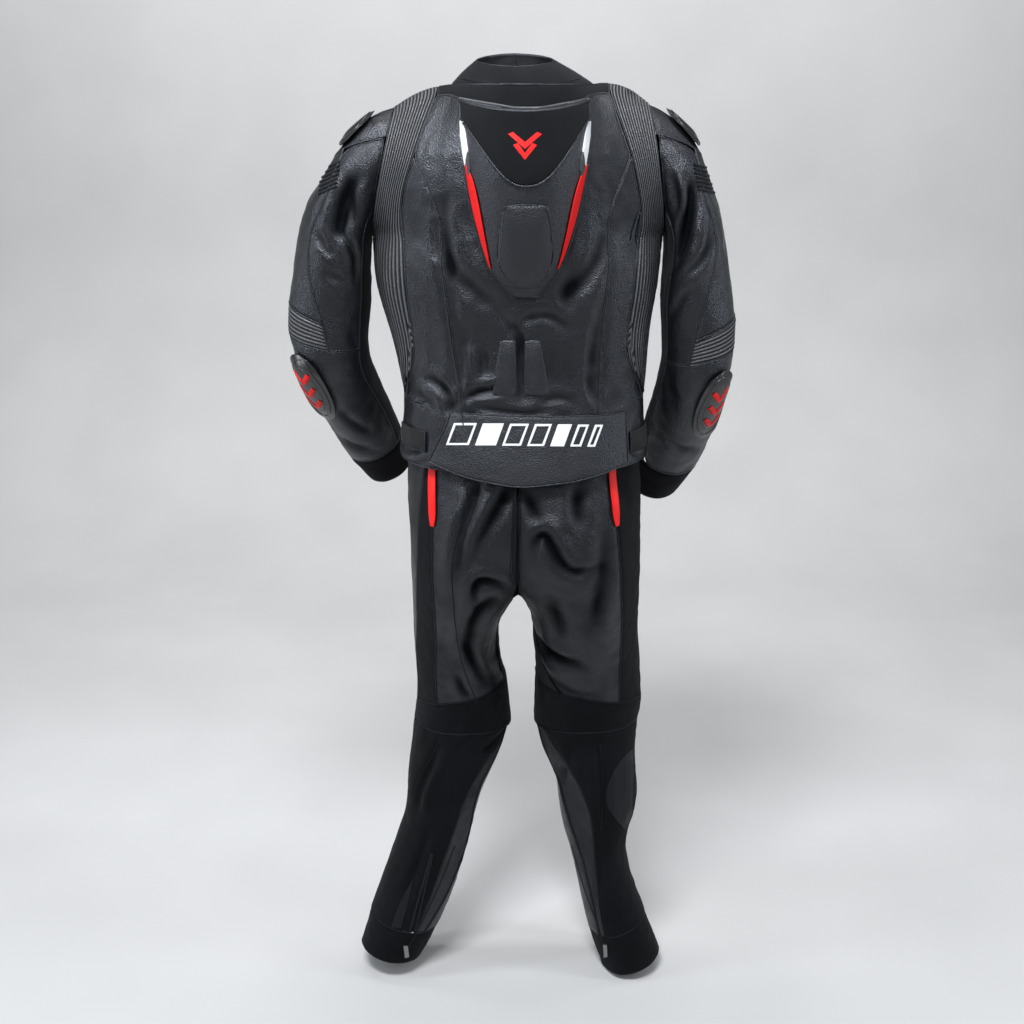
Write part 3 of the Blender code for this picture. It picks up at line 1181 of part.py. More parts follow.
LEG_SEAMS = {
    "L": {
        "front": [(-0.135, -0.551), (-0.152, -0.704), (-0.161, -0.874)],
        "side": [(-0.124, -0.547), (-0.125, -0.629), (-0.129, -0.688), (-0.128, -0.838), (-0.129, -0.950)],
        "calf": [(-0.060, -1.074), (-0.083, -1.124), (-0.102, -1.174), (-0.127, -1.248), (-0.148, -1.312)],
        "zip": [(-0.056, -1.101), (-0.072, -1.162), (-0.084, -1.232), (-0.113, -1.304), (-0.146, -1.349)],
        "inner": [(0.36, 158), (0.42, 164), (KNEE[0], 168)],
    },
    "R": {
        "front": [(0.183, -0.563), (0.190, -0.712), (0.196, -0.874)],
        "side": [(0.137, -0.544), (0.146, -0.629), (0.153, -0.688), (0.161, -0.799), (0.164, -0.950)],
        "calf": [(0.079, -1.062), (0.102, -1.102), (0.119, -1.134), (0.126, -1.212),
            (0.134, -1.286), (0.141, -1.350)],
        "zip": [(0.070, -1.107), (0.077, -1.149), (0.093, -1.194), (0.113, -1.258),
            (0.127, -1.319), (0.134, -1.36)],
        "inner": [(0.35, 163), (0.42, 152), (0.48, 137), (KNEE[0], 121)],
    },
}

for side in "LR":
    sign = -1 if side == "L" else 1
    form, plan = LEG_FORM[side], LEG_SEAMS[side]
    centre_back = lambda r, side=side: np.interp(r, STEPS, MEET[side, "back"][0])
    centre_front = lambda r, side=side: np.interp(r, STEPS, MEET[side, "front"][0])
    fork_back, fork_front = float(centre_back(FORK)), float(centre_front(FORK))
    s1 = line(spots_of(form, plan["front"], -20, 60, (30, 0.07)) + [(KNEE[0], 14), (0.64, -6), (1.0, -6)])
    s2 = line(spots_of(form, plan["side"], 0, 90, (45, 0.07)))
    s_in = line([(FORK, fork_back)] + plan["inner"])
    s_if = line([(FORK, fork_front), (0.36, 212), (KNEE[0], 199), (KNEE[1], 196)])
    s_zip = line([(KNEE[1], 196)] + spots_of(form, plan["zip"], 60, 178, (165, 0.66)))
    s_calf = line([(KNEE[1], 193)] + spots_of(form, plan["calf"], 60, 176, (160, 0.64)))

    turn, along = across(s1, s2, UPPER, 2)
    panel(f"leg_side_{side}", form, turn, along, STRETCH, thick=STRETCH_WALL)
    side_low = turn[-1]
    inner_edge = lambda r, a=centre_back, b=s_in: np.where(r < FORK + 1e-6, a(r), b(r))
    turn, along = across(s2, inner_edge, UPPER, 6)
    marked = np.zeros(turn.shape, bool)
    marked[UPPER < FORK + 1e-6, -1] = True
    panel(f"seat_{side}", form, turn, along, LEATHER, middle=(marked, sign))
    seat_low = turn[-1]

    # inner thigh: its top is the middle seam between the legs
    rows = UPPER[UPPER > FORK - 1e-6]
    turn, along = across(s_in, s_if, rows, 4)
    top = np.linspace(fork_back, fork_front, 5)
    low = bisect(0 * top + 0.2, 0 * top + 0.4, lambda w, f=form, t=top, g=sign: g * f(t, w)[..., 0] < 0)
    low[0] = low[-1] = FORK
    f = np.clip(1 - (rows - FORK) / (0.47 - FORK), 0, 1)[:, None]
    along = along + (low - FORK)[None, :] * f
    turn = turn * (1 - f) + top[None, :] * f
    turn[:, 0], turn[:, -1] = s_in(rows), s_if(rows)
    marked = np.zeros(turn.shape, bool)
    marked[0] = True
    panel(f"inner_thigh_{side}", form, turn, along, STRETCH, thick=STRETCH_WALL, middle=(marked, sign))
    inner_low = turn[-1]

    # knee band
    band = np.concatenate([side_low, seat_low[1:], inner_low[1:]])
    rows = np.array([KNEE[0], sum(KNEE) / 2, KNEE[1]])
    share = ((band - band[0]) / (band[-1] - band[0]))[None, :]
    even = s1(rows)[:, None] + (s_if(rows) - s1(rows))[:, None] * share
    panel(f"knee_band_{side}", form, even, np.repeat(rows[:, None], len(band), 1), STRETCH, thick=STRETCH_WALL)
    band = even[-1]

    # calf and its leather insert beside the ankle zip
    columns = len(band) - 2
    first = band[:-1].copy()
    first[-1] = 193
    turn, along = across(s1, s_calf, LOWER, columns)
    t = np.clip((LOWER - LOWER[0]) / 0.12, 0, 1)[:, None]
    share = (first - first[0]) / (first[-1] - first[0])
    even = np.linspace(0, 1, len(first))
    mix = share[None, :] * (1 - t) + even[None, :] * t
    turn = turn[:, :1] + (turn[:, -1:] - turn[:, :1]) * mix
    panel(f"calf_{side}", form, turn, along, STRETCH, thick=STRETCH_WALL)
    ring = [turn[-1]]
    turn, along = across(s_calf, s_zip, LOWER, 1)
    panel(f"calf_leather_{side}", form, turn, along, LEATHER)
    ring.append(turn[-1, 1:])

    # front of the leg, from waist to ankle
    rows = np.concatenate([UPPER, [sum(KNEE) / 2], LOWER])
    def inner_edge(r, a=centre_front, b=s_if, c=s_zip):
        return np.where(r < FORK + 1e-6, a(r), np.where(r < KNEE[1], b(r), c(r)))

    turn, along = across(inner_edge, lambda r, a=s1: a(r) + 360, rows, 7)
    marked = np.zeros(turn.shape, bool)
    marked[rows < FORK + 1e-6, 0] = True
    panel(f"leg_front_{side}", form, turn, along, LEATHER, middle=(marked, sign))
    ring.append(turn[-1, 1:])
    ring = np.concatenate(ring)
    turn, along = np.meshgrid(ring, np.array([ANKLE, 0.965, 1.0]))
    panel(f"ankle_{side}", form, turn, along, STRETCH, thick=STRETCH_WALL, closed=True)

    # hip accent on the side seam
    under = tree([f"leg_side_{side}", f"seat_{side}"])
    v, u = np.meshgrid(np.linspace(0, 1, 7), np.linspace(-1, 1, 3), indexing="ij")
    along = 0.060 + 0.092 * v
    half = 3.1 * np.sqrt(np.clip(1 - np.clip((v - 0.82) / 0.18, 0, 1) ** 2 * 0.75, 0, 1))
    turn = s2(along) + half * u
    cover(f"hip_accent_{side}", form(turn, along), normals(form, turn, along), under, 0.0012, RED)
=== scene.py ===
# %% [markdown]
# # A two-piece leather race suit, dressed panel by panel
#
# The frame holds sixty plain pieces: the cut panels of the suit, its sliders and its zip. Here every
# panel gets what its plain wall lacks: fine folds, turned edges, topstitching and a finish of its own.
# Each panel keeps its place, so the frame is loaded first, and the box round it is kept to set the floor's height.

# %% Load the frame
import heapq
import json
import math
import bmesh
import bpy
import numpy as np
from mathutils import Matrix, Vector, noise
from mathutils.bvhtree import BVHTree
from mathutils.kdtree import KDTree


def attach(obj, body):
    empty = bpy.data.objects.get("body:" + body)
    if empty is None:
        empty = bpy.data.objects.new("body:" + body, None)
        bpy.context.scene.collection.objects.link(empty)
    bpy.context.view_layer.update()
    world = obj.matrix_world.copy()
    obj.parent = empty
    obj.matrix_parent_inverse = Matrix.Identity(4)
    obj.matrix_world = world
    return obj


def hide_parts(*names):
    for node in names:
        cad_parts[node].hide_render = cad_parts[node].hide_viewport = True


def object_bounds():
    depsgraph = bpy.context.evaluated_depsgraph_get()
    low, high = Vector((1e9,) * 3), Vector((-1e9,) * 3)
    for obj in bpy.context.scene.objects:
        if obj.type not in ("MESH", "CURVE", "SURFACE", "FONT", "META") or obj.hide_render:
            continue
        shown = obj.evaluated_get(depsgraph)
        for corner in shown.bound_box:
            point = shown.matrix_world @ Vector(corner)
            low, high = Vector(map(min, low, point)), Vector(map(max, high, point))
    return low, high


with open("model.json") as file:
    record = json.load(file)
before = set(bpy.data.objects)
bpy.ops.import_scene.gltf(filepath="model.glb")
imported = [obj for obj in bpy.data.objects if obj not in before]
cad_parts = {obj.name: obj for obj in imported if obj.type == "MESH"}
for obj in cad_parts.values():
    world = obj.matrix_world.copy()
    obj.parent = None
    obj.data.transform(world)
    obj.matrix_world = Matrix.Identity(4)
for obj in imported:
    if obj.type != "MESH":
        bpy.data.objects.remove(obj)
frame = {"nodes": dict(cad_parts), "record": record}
cad_box = [list(corner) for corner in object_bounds()]
nodes = frame["nodes"]
print(len(nodes), "pieces in the frame")

# %% [markdown]
# ## The camera and the drawing
#
# The suit hangs filled out and is seen from behind, from a little above. Folds and sewn lines are easiest
# to place on a drawing of that view, so the camera comes first and `grid_of` gives any point's place on a
# drawing 1024 wide and 1024 high. `EYE`, `AHEAD` and `UP` say where the camera stands and looks, and
# `SCALE` is how many steps of the drawing one metre takes up at a depth of one metre.

# %% Camera
EYE = np.array([-0.0085, -1.95, 0.05])
TILT = math.radians(70.5)
LENS = 47.3
SENSOR = 36.0
DRAWING = 1024
MIDDLE = DRAWING / 2
AHEAD = np.array([0, math.sin(TILT), -math.cos(TILT)])
UP = np.array([0, math.cos(TILT), math.sin(TILT)])
ACROSS = np.array([1.0, 0, 0])
SCALE = LENS / SENSOR * DRAWING

camera = bpy.data.objects.new("camera", bpy.data.cameras.new("camera"))
bpy.context.collection.objects.link(camera)
camera.location = EYE
camera.rotation_euler = (TILT, 0, 0)
camera.data.lens = LENS
bpy.context.scene.camera = camera
bpy.context.scene.view_settings.view_transform = "Standard"


def grid_of(points):
    """Where points lie on the drawing of the back."""
    away = points - EYE
    depth = away @ AHEAD
    return np.stack([MIDDLE + SCALE * (away @ ACROSS) / depth, MIDDLE - SCALE * (away @ UP) / depth], -1)


def ray_of(x, y):
    """The direction in which the camera sees a place of the drawing."""
    way = AHEAD + ACROSS * (x - MIDDLE) / SCALE + UP * (MIDDLE - y) / SCALE
    return Vector(way / np.linalg.norm(way))


print("the neck opening is at", grid_of(np.zeros((1, 3))).round()[0])

# %% [markdown]
# ## Finishes
#
# Every finish here is a shader with a few patterns joined to it, so four small helpers do the joining: a
# pattern that reads Object coordinates, a blend of two colours, a spread of plain numbers, and a bump.
# Object coordinates are metres here, so a scale of 560 means cells of about 1.8 mm.

# %% Material helpers
def pattern(tree, kind, **settings):
    """A texture node that reads Object coordinates."""
    node = tree.nodes.new(kind)
    place = tree.nodes.get("Place") or tree.nodes.new("ShaderNodeTexCoord")
    place.name = "Place"
    tree.links.new(place.outputs["Object"], node.inputs["Vector"])
    for name, value in settings.items():
        if name in node.inputs:
            node.inputs[name].default_value = value
        else:
            setattr(node, name, value)
    return node


def blend_colours(tree, factor, low, high, start=0.3, end=0.7):
    """A colour that turns from `low` to `high` while the factor goes from `start` to `end`."""
    ramp = tree.nodes.new("ShaderNodeValToRGB")
    ramp.color_ramp.elements[0].position = start
    ramp.color_ramp.elements[1].position = end
    ramp.color_ramp.elements[0].color = (*low, 1)
    ramp.color_ramp.elements[1].color = (*high, 1)
    tree.links.new(factor, ramp.inputs["Fac"])
    return ramp.outputs["Color"]


def between(tree, factor, low, high, start=0.3, end=0.7):
    """A number that goes from `low` to `high` while the factor goes from `start` to `end`."""
    spread = tree.nodes.new("ShaderNodeMapRange")
    for name, value in (("From Min", start), ("From Max", end), ("To Min", low), ("To Max", high)):
        spread.inputs[name].default_value = value
    tree.links.new(factor, spread.inputs["Value"])
    return spread.outputs["Result"]


def bump(tree, height, distance, below=None):
    """Bumps `distance` metres high, on top of the bumps `below`."""
    node = tree.nodes.new("ShaderNodeBump")
    node.inputs["Strength"].default_value = 1.0
    node.inputs["Distance"].default_value = distance
    tree.links.new(height, node.inputs["Height"])
    if below is not None:
        tree.links.new(below, node.inputs["Normal"])
    return node.outputs["Normal"]


def finish(name, **sockets):
    """A new material, its node tree and its shader, with plain values set on the shader."""
    material = bpy.data.materials.new(name)
    material.use_nodes = True
    shader = material.node_tree.nodes["Principled BSDF"]
    for socket, value in sockets.items():
        shader.inputs[socket.replace("_", " ")].default_value = value
    return material, material.node_tree, shader


print("material helpers ready")

# %% [markdown]
# ## Leather
#
# Cowhide is a smooth dark skin broken by small pebbles, with faint patches where it was stretched, and it
# is glossier where a fold stands up and gets rubbed. A picture of hide would carry all that, but it would
# not follow our own folds. So a Voronoi pattern gives the pebbles, slow noises vary the colour and
# gloss, and an attribute that each panel gets from its folds roughens valleys and sets the specular level:
# low in valleys, which is painted shade in the folds, and high on crests, partly rubbed polish and partly
# painted highlight.

# %% Leather
HIDE_TINT = (0.86, 0.90, 1.0, 1)
PEBBLES = 560


def leather(name, dark, light, gloss=(0.36, 0.52), depth=0.0006, wear_and_painted_shade=0.0, **sockets):
    """Pebbled hide. `gloss` is its range of roughness, `depth` the height of its pebbles in metres, and the
    wear argument the specular level of a crest, partly rubbed polish and partly painted highlight; a valley
    gets a tenth of it, which is painted shade."""
    material, tree, shader = finish(name, **sockets)
    patches = pattern(tree, "ShaderNodeTexNoise", Scale=9.0, Detail=5.0, Roughness=0.6)
    colour = blend_colours(tree, patches.outputs["Fac"], dark, light, start=0.35, end=0.65)
    tree.links.new(colour, shader.inputs["Base Color"])
    smears = pattern(tree, "ShaderNodeTexNoise", Scale=34.0, Detail=4.0)
    rough = between(tree, smears.outputs["Fac"], *gloss)
    if wear_and_painted_shade:
        # The attribute lowers the specular level in fold valleys, painted shade, and raises it on crests, partly
        # rubbed polish and partly painted highlight; it also roughens the valleys.
        crest = tree.nodes.new("ShaderNodeAttribute")
        crest.attribute_name = "wear_and_painted_shade"
        dull = between(tree, crest.outputs["Fac"], low=0.30, high=-0.02, start=-0.4, end=0.5)
        total = tree.nodes.new("ShaderNodeMath")
        total.operation = "ADD"
        tree.links.new(rough, total.inputs[0])
        tree.links.new(dull, total.inputs[1])
        rough = total.outputs["Value"]
        polish_and_painted_shade = between(tree, crest.outputs["Fac"], low=0.1 * wear_and_painted_shade, high=wear_and_painted_shade, start=-0.5, end=0.5)
        tree.links.new(polish_and_painted_shade, shader.inputs["Specular IOR Level"])
    tree.links.new(rough, shader.inputs["Roughness"])
    pebbles = pattern(tree, "ShaderNodeTexVoronoi", Scale=PEBBLES, feature="F1")
    creasing = pattern(tree, "ShaderNodeTexNoise", Scale=46.0, Detail=3.0, Roughness=0.5)
    surface = bump(tree, pebbles.outputs["Distance"], depth)
    surface = bump(tree, creasing.outputs["Fac"], 0.0011, below=surface)
    tree.links.new(surface, shader.inputs["Normal"])
    return material


BLACK = leather("black_cowhide", (0.0016, 0.0018, 0.0026), (0.0032, 0.0036, 0.0050), gloss=(0.33, 0.45),
                wear_and_painted_shade=0.70, Specular_Tint=HIDE_TINT)
# The trousers' hide is a darker, less specular copy of the jacket's: painted shade on the lower suit.
LEGS_PAINTED_SHADE = leather("leg_cowhide_painted_shade", (0.0012, 0.0013, 0.0018), (0.0024, 0.0026, 0.0034), gloss=(0.38, 0.50),
               wear_and_painted_shade=0.56, Specular_Tint=HIDE_TINT)
PLAIN = leather("plain_cowhide", (0.0040, 0.0043, 0.0056), (0.0070, 0.0076, 0.0096), gloss=(0.38, 0.50),
                Specular_IOR_Level=0.74, Specular_Tint=HIDE_TINT)
RED = leather("red_accent", (0.66, 0.004, 0.004), (0.78, 0.008, 0.007), gloss=(0.42, 0.54), depth=0.0001,
              Specular_IOR_Level=0.3)
WHITE = leather("white_leather", (0.74, 0.75, 0.77), (0.84, 0.85, 0.86), gloss=(0.34, 0.46), depth=0.0001)
GREY = leather("grey_leather", (0.045, 0.047, 0.052), (0.07, 0.073, 0.08), gloss=(0.34, 0.46), depth=0.0001)
print("leathers:", BLACK.name, LEGS_PAINTED_SHADE.name, PLAIN.name, RED.name, WHITE.name, GREY.name)

# %% [markdown]
# ## Ribbed leather
#
# An accordion panel is hide gathered over elastic into round ribs, and no light reaches the valleys
# between them. The ribs are real geometry, but their valleys are too narrow to fall dark by themselves, so
# their shade is painted. The cloth keeps a column number, even in a valley and odd on a crest, and a
# ping-pong of it gives each valley a near-black base colour, painted shade, and a high roughness, and each
# crest a base colour far lighter than the hide's, a painted highlight, with less roughness.

# %% Ribbed leather
def ribbed(name, valley, crest):
    """Leather whose base colour goes from `valley`, painted shade, to the colour of its crests, a painted highlight.
    """
    material = leather(name, crest, tuple(1.25 * c for c in crest), gloss=(0.30, 0.42), Specular_IOR_Level=0.5)
    tree = material.node_tree
    shader = tree.nodes["Principled BSDF"]
    column = tree.nodes.new("ShaderNodeAttribute")
    column.attribute_name = "column"
    half = tree.nodes.new("ShaderNodeMath")
    half.operation = "PINGPONG"
    half.inputs[1].default_value = 1.0
    tree.links.new(column.outputs["Fac"], half.inputs[0])
    # Near-black valleys are painted shade, and the light crests a painted highlight.
    rise = between(tree, half.outputs[0], low=0.0, high=1.0, start=0.35, end=0.95)
    painted_rib_light = tree.nodes.new("ShaderNodeMix")
    painted_rib_light.data_type = "RGBA"
    tree.links.new(rise, painted_rib_light.inputs["Factor"])
    painted_rib_light.inputs["A"].default_value = (*valley, 1)
    tree.links.new(shader.inputs["Base Color"].links[0].from_socket, painted_rib_light.inputs["B"])
    tree.links.new(painted_rib_light.outputs["Result"], shader.inputs["Base Color"])
    rough = between(tree, half.outputs[0], low=0.9, high=0.34, start=0.1, end=0.7)
    tree.links.new(rough, shader.inputs["Roughness"])
    return material


# The valley colour is painted shade, the crest colour a painted highlight.
RIBBED = ribbed("ribbed_cowhide_painted_shade", (0.0003, 0.0003, 0.0005), (0.092, 0.096, 0.108))
print("ribbed leather:", RIBBED.name)

# %% [markdown]
# ## Cloth, neoprene and lining
#
# The stretch panels are a tight knit that swallows light, the collar and the zip's flap are smoother
# neoprene, and the lining is a coarse mesh. All are loops in rows, so one helper serves them: two wave
# patterns cross as courses and wales, a fine noise makes the fuzz, and a little sheen catches the edge.

# %% Cloth, neoprene and lining
def knit(name, dark, light, rows, depth, rough=0.82, sheen=0.03):
    """A knit of fine rows across fine rows: `rows` is their scale, `depth` their height in metres."""
    material, tree, shader = finish(name, Sheen_Weight=sheen, Sheen_Roughness=0.6, Specular_IOR_Level=0.06)
    cloudy = pattern(tree, "ShaderNodeTexNoise", Scale=14.0, Detail=4.0)
    colour = blend_colours(tree, cloudy.outputs["Fac"], dark, light)
    tree.links.new(colour, shader.inputs["Base Color"])
    fuzz = pattern(tree, "ShaderNodeTexNoise", Scale=900.0, Detail=3.0)
    tree.links.new(between(tree, fuzz.outputs["Fac"], rough - 0.08, rough + 0.08), shader.inputs["Roughness"])
    courses = pattern(tree, "ShaderNodeTexWave", Scale=rows, bands_direction="Z", Distortion=1.2, Detail=1.0)
    wales = pattern(tree, "ShaderNodeTexWave", Scale=rows * 0.8, bands_direction="X", Distortion=1.2, Detail=1.0)
    surface = bump(tree, courses.outputs["Fac"], depth)
    surface = bump(tree, wales.outputs["Fac"], depth, surface)
    surface = bump(tree, fuzz.outputs["Fac"], depth, surface)
    tree.links.new(surface, shader.inputs["Normal"])
    return material


STRETCH = knit("stretch_fabric", (0.0018, 0.0020, 0.0030), (0.0040, 0.0043, 0.0062), 210, 0.00018)
NEOPRENE = knit("neoprene", (0.0050, 0.0053, 0.0064), (0.0085, 0.0089, 0.0104), 420, 0.00006, 0.74, 0.03)
LOOPS = knit("hook_and_loop", (0.0045, 0.0045, 0.005), (0.008, 0.008, 0.009), 520, 0.0003, 0.92, 0.10)
LINING = knit("mesh_lining", (0.012, 0.012, 0.014), (0.02, 0.02, 0.022), 260, 0.0003, 0.85, 0.03)
THREAD = knit("thread", (0.020, 0.021, 0.024), (0.042, 0.044, 0.050), 900, 0.00005, 0.6, 0.03)
print("fabrics:", STRETCH.name, NEOPRENE.name, LOOPS.name, LINING.name, THREAD.name)

# %% [markdown]
# ## Plastic and metal
#
# The sliders are moulded plastic that scrapes along the road, and the zips are dark nickel. Both are hard
# and even, so a noise that roughens them in scuffs is enough: a thin coat on the plastic, none on the metal.

# %% Plastic and metal
def plastic(name, colour, rough):
    material, tree, shader = finish(name, Specular_IOR_Level=0.6, Coat_Weight=0.25, Coat_Roughness=0.15)
    cloudy = pattern(tree, "ShaderNodeTexNoise", Scale=40.0, Detail=3.0)
    low, high = tuple(0.8 * c for c in colour), tuple(1.3 * c for c in colour)
    tree.links.new(blend_colours(tree, cloudy.outputs["Fac"], low, high), shader.inputs["Base Color"])
    scuffs = pattern(tree, "ShaderNodeTexNoise", Scale=220.0, Detail=5.0)
    tree.links.new(between(tree, scuffs.outputs["Fac"], rough, rough + 0.15), shader.inputs["Roughness"])
    tree.links.new(bump(tree, scuffs.outputs["Fac"], 0.0001), shader.inputs["Normal"])
    return material


def metal(name, colour, rough):
    material, tree, shader = finish(name, Metallic=1.0)
    brushed = pattern(tree, "ShaderNodeTexNoise", Scale=500.0, Detail=3.0)
    low, high = tuple(0.75 * c for c in colour), colour
    tree.links.new(blend_colours(tree, brushed.outputs["Fac"], low, high), shader.inputs["Base Color"])
    tree.links.new(between(tree, brushed.outputs["Fac"], rough, rough + 0.2), shader.inputs["Roughness"])
    return material


SLIDER = plastic("slider_plastic", (0.012, 0.012, 0.013), 0.26)
NICKEL = metal("dark_nickel", (0.30, 0.30, 0.31), 0.28)
print(len(bpy.data.materials), "finishes ready")

# %% [markdown]
# ## Taking the outer side of a wall
#
# A frame piece is a closed wall of loose triangles. The visible cloth starts from its outer side: doubles
# are merged, the slim faces of the rim are set aside, and a flood that stops at sharp edges finds the two
# smooth sides. The larger is the outer one, because cloth bulges outwards. Faces that the flood left over
# go to the side that most of their neighbours are on. Pairs of triangles then join into quads, which
# subdivide well. Angles are in radians: 0.873 is about 50 degrees, 1.06 about 61.

# %% Outer side
DOUBLES = 2e-5
PANEL_TURN, RIB_TURN = 0.873, 1.06
RIM_HEIGHT = 0.0033
RIM_TURN = 0.75
SLIM_BEND, WIDE_BEND = 0.7, 2.2
ROUNDS = 6


def outer_side(name, turn=PANEL_TURN, narrow=RIM_HEIGHT):
    """The outer side of a frame piece. `turn` is the sharpest bend inside a side, and triangles less than
    `narrow` metres high may be the rim's."""
    bm = bmesh.new()
    bm.from_mesh(nodes[name].data)
    bmesh.ops.remove_doubles(bm, verts=bm.verts, dist=DOUBLES)
    bm.normal_update()
    slim, rim = set(), set()
    for face in bm.faces:
        if 2 * face.calc_area() / max(edge.calc_length() for edge in face.edges) < narrow:
            slim.add(face)
            if any(edge.calc_face_angle(0) > RIM_TURN for edge in face.edges):
                rim.add(face)
    sides, seen = [], set(rim)
    for face in bm.faces:
        if face in seen:
            continue
        side, waiting = set(), [face]
        seen.add(face)
        while waiting:
            here = waiting.pop()
            side.add(here)
            for edge in here.edges:
                if edge.calc_face_angle(0) < turn:
                    for other in edge.link_faces:
                        if other not in seen:
                            seen.add(other)
                            waiting.append(other)
        sides.append(side)
    sides.sort(key=lambda side: -sum(face.calc_area() for face in side))
    outer, inner = sides[0], sides[1]
    for _ in range(ROUNDS if narrow else 0):
        for face in bm.faces:
            if face in outer or face in inner:
                continue
            bend = SLIM_BEND if face in slim else WIDE_BEND
            near = [other for edge in face.edges if edge.calc_face_angle(9) < bend
                    for other in edge.link_faces if other is not face]
            counts = sum(other in outer for other in near), sum(other in inner for other in near)
            if counts[0] > counts[1]:
                outer.add(face)
            elif counts[1] > counts[0]:
                inner.add(face)
    bmesh.ops.delete(bm, geom=[face for face in bm.faces if face not in outer], context="FACES")
    bmesh.ops.join_triangles(bm, faces=bm.faces, angle_face_threshold=1.2, angle_shape_threshold=1.5)
    return bm


sample = outer_side("back_centre")
print("the outer side of back_centre has", len(sample.faces), "faces")
sample.free()

# %% [markdown]
# ## Numbering the ribs
#
# An accordion's crests and valleys alternate from column to column, and subdivision would iron them flat.
# So the columns are numbered first, the ribs are averaged out, and round ribs are raised again from the
# numbers once the sheet is dense. The walk starts in the middle. A short edge steps across one rib, a long
# one follows it, and the plain margins are crossed last, so a mistake there can't reach the ribs.

# %% Numbering the ribs
LONG_RANK = 0.85
SHORT_SHARE = 0.55
MARGIN_SHARE = 0.85


def number_columns(bm, way):
    """Column number of each vertex, counted along `way`. A margin is as many ribs wide as it measures."""
    sizes = sorted(edge.calc_length() for edge in bm.edges)
    short = SHORT_SHARE * sizes[int(LONG_RANK * len(sizes))]
    small = [size for size in sizes if size < short]
    pitch, way = small[len(small) // 2], Vector(way)
    middle = sum((v.co for v in bm.verts), Vector()) / len(bm.verts)
    start = min(bm.verts, key=lambda v: (v.co - middle).length)
    number, waiting, order = {}, [(0, 0, 0, start)], 1
    while waiting:
        margins, _, column, here = heapq.heappop(waiting)
        if here in number:
            continue
        number[here] = column
        for edge in here.link_edges:
            other, size = edge.other_vert(here), edge.calc_length()
            across = (other.co - here.co).dot(way)
            margin = size >= short and abs(across) > MARGIN_SHARE * size
            jump = 1 if size < short else max(1, round(size / pitch)) if margin else 0
            heapq.heappush(waiting, (margins + margin, order, column + int(math.copysign(jump, across)), other))
            order += 1
    lowest = min(number.values())
    return {v: n - lowest for v, n in number.items()}


def iron_ribs(bm, number):
    """Averages crests and valleys and keeps the column number on the mesh."""
    layer = bm.verts.layers.float["column"]
    places = {}
    for v in bm.verts:
        v[layer] = number.get(v, 0)
        sides = [e.other_vert(v) for e in v.link_edges]
        sides = [o for o in sides if abs(number.get(o, 0) - number.get(v, 0)) == 1]
        before = [o.co for o in sides if number[o] < number[v]]
        after = [o.co for o in sides if number[o] > number[v]]
        if before and after:
            middle = (sum(before, Vector()) / len(before) + sum(after, Vector()) / len(after)) / 2
            places[v] = (v.co + middle) / 2
    for v, place in places.items():
        v.co = place


print("rib tools ready")

# %% [markdown]
# ## Making a sheet smooth and dense
#
# Subdivision rounds the coarse quads into one soft surface. It could stay a live modifier, but folds have
# to move the dense points, so it is applied first. Full creases hold the open border where the frame has
# it. The small helpers read and write a mesh's points as one array, and follow its borders.

# %% Subdividing
def new_object(name, mesh):
    """A mesh as an object of the scene."""
    obj = bpy.data.objects.new(name, mesh)
    bpy.context.collection.objects.link(obj)
    return obj


def subdivided(bm, name, levels):
    """The bmesh as a smooth, dense mesh."""
    mesh = bpy.data.meshes.new(name)
    firm = bm.edges.layers.float.get("crease_edge") or bm.edges.layers.float.new("crease_edge")
    for edge in bm.edges:
        if edge.is_boundary:
            edge[firm] = 1.0
    bm.to_mesh(mesh)
    bm.free()
    rough = new_object("rough", mesh)
    smooth = rough.modifiers.new("smooth", "SUBSURF")
    smooth.levels = smooth.render_levels = levels
    smooth.boundary_smooth = "PRESERVE_CORNERS"
    bpy.context.view_layer.update()
    dense = bpy.data.meshes.new_from_object(rough.evaluated_get(bpy.context.evaluated_depsgraph_get()))
    bpy.data.objects.remove(rough)
    bpy.data.meshes.remove(mesh)
    dense.name = name
    return dense


print("subdividing ready")


# %% Points and borders of a mesh
def points_of(mesh):
    """The points of a mesh as one array, in metres."""
    flat = np.empty(3 * len(mesh.vertices), np.float32)
    mesh.vertices.foreach_get("co", flat)
    return flat.reshape(-1, 3).astype(float)


def normals_of(mesh):
    """Which way the surface faces at each point."""
    flat = np.empty(3 * len(mesh.vertices), np.float32)
    mesh.vertex_normals.foreach_get("vector", flat)
    return flat.reshape(-1, 3).astype(float)


def put_points(mesh, points):
    """Moves a mesh's points to new places."""
    mesh.vertices.foreach_set("co", points.astype(np.float32).ravel())
    mesh.update()


SHORTEST_RUN = 8


def tree_of(points):
    """A search tree that finds the nearest of these points."""
    tree = KDTree(len(points))
    for i, p in enumerate(points):
        tree.insert(p, i)
    tree.balance()
    return tree


def borders_of(mesh):
    """The open borders of a sheet, each as a closed run of vertex numbers with the sheet on its left."""
    after, used = {}, {}
    for poly in mesh.polygons:
        for key in poly.edge_keys:
            used[key] = used.get(key, 0) + 1
    for poly in mesh.polygons:
        corners = list(poly.vertices)
        for a, b in zip(corners, corners[1:] + corners[:1]):
            if used[(min(a, b), max(a, b))] == 1:
                after[a] = b
    runs = []
    while after:
        start, here = next(iter(after.items()))
        run = [start]
        del after[start]
        while here != start and here in after:
            run.append(here)
            here = after.pop(here)
        if len(run) > SHORTEST_RUN:
            runs.append(run)
    return runs


print("mesh helpers ready")

# %% [markdown]
# ## Folds
#
# Worn leather folds where the body bends. The large folds are drawn as lines on the back view: a
# line is a valley with a soft ridge along each side, deepest in its middle and fading to its ends. Between
# them a slow noise makes the hide uneven, so that no panel reads as a moulded shell.

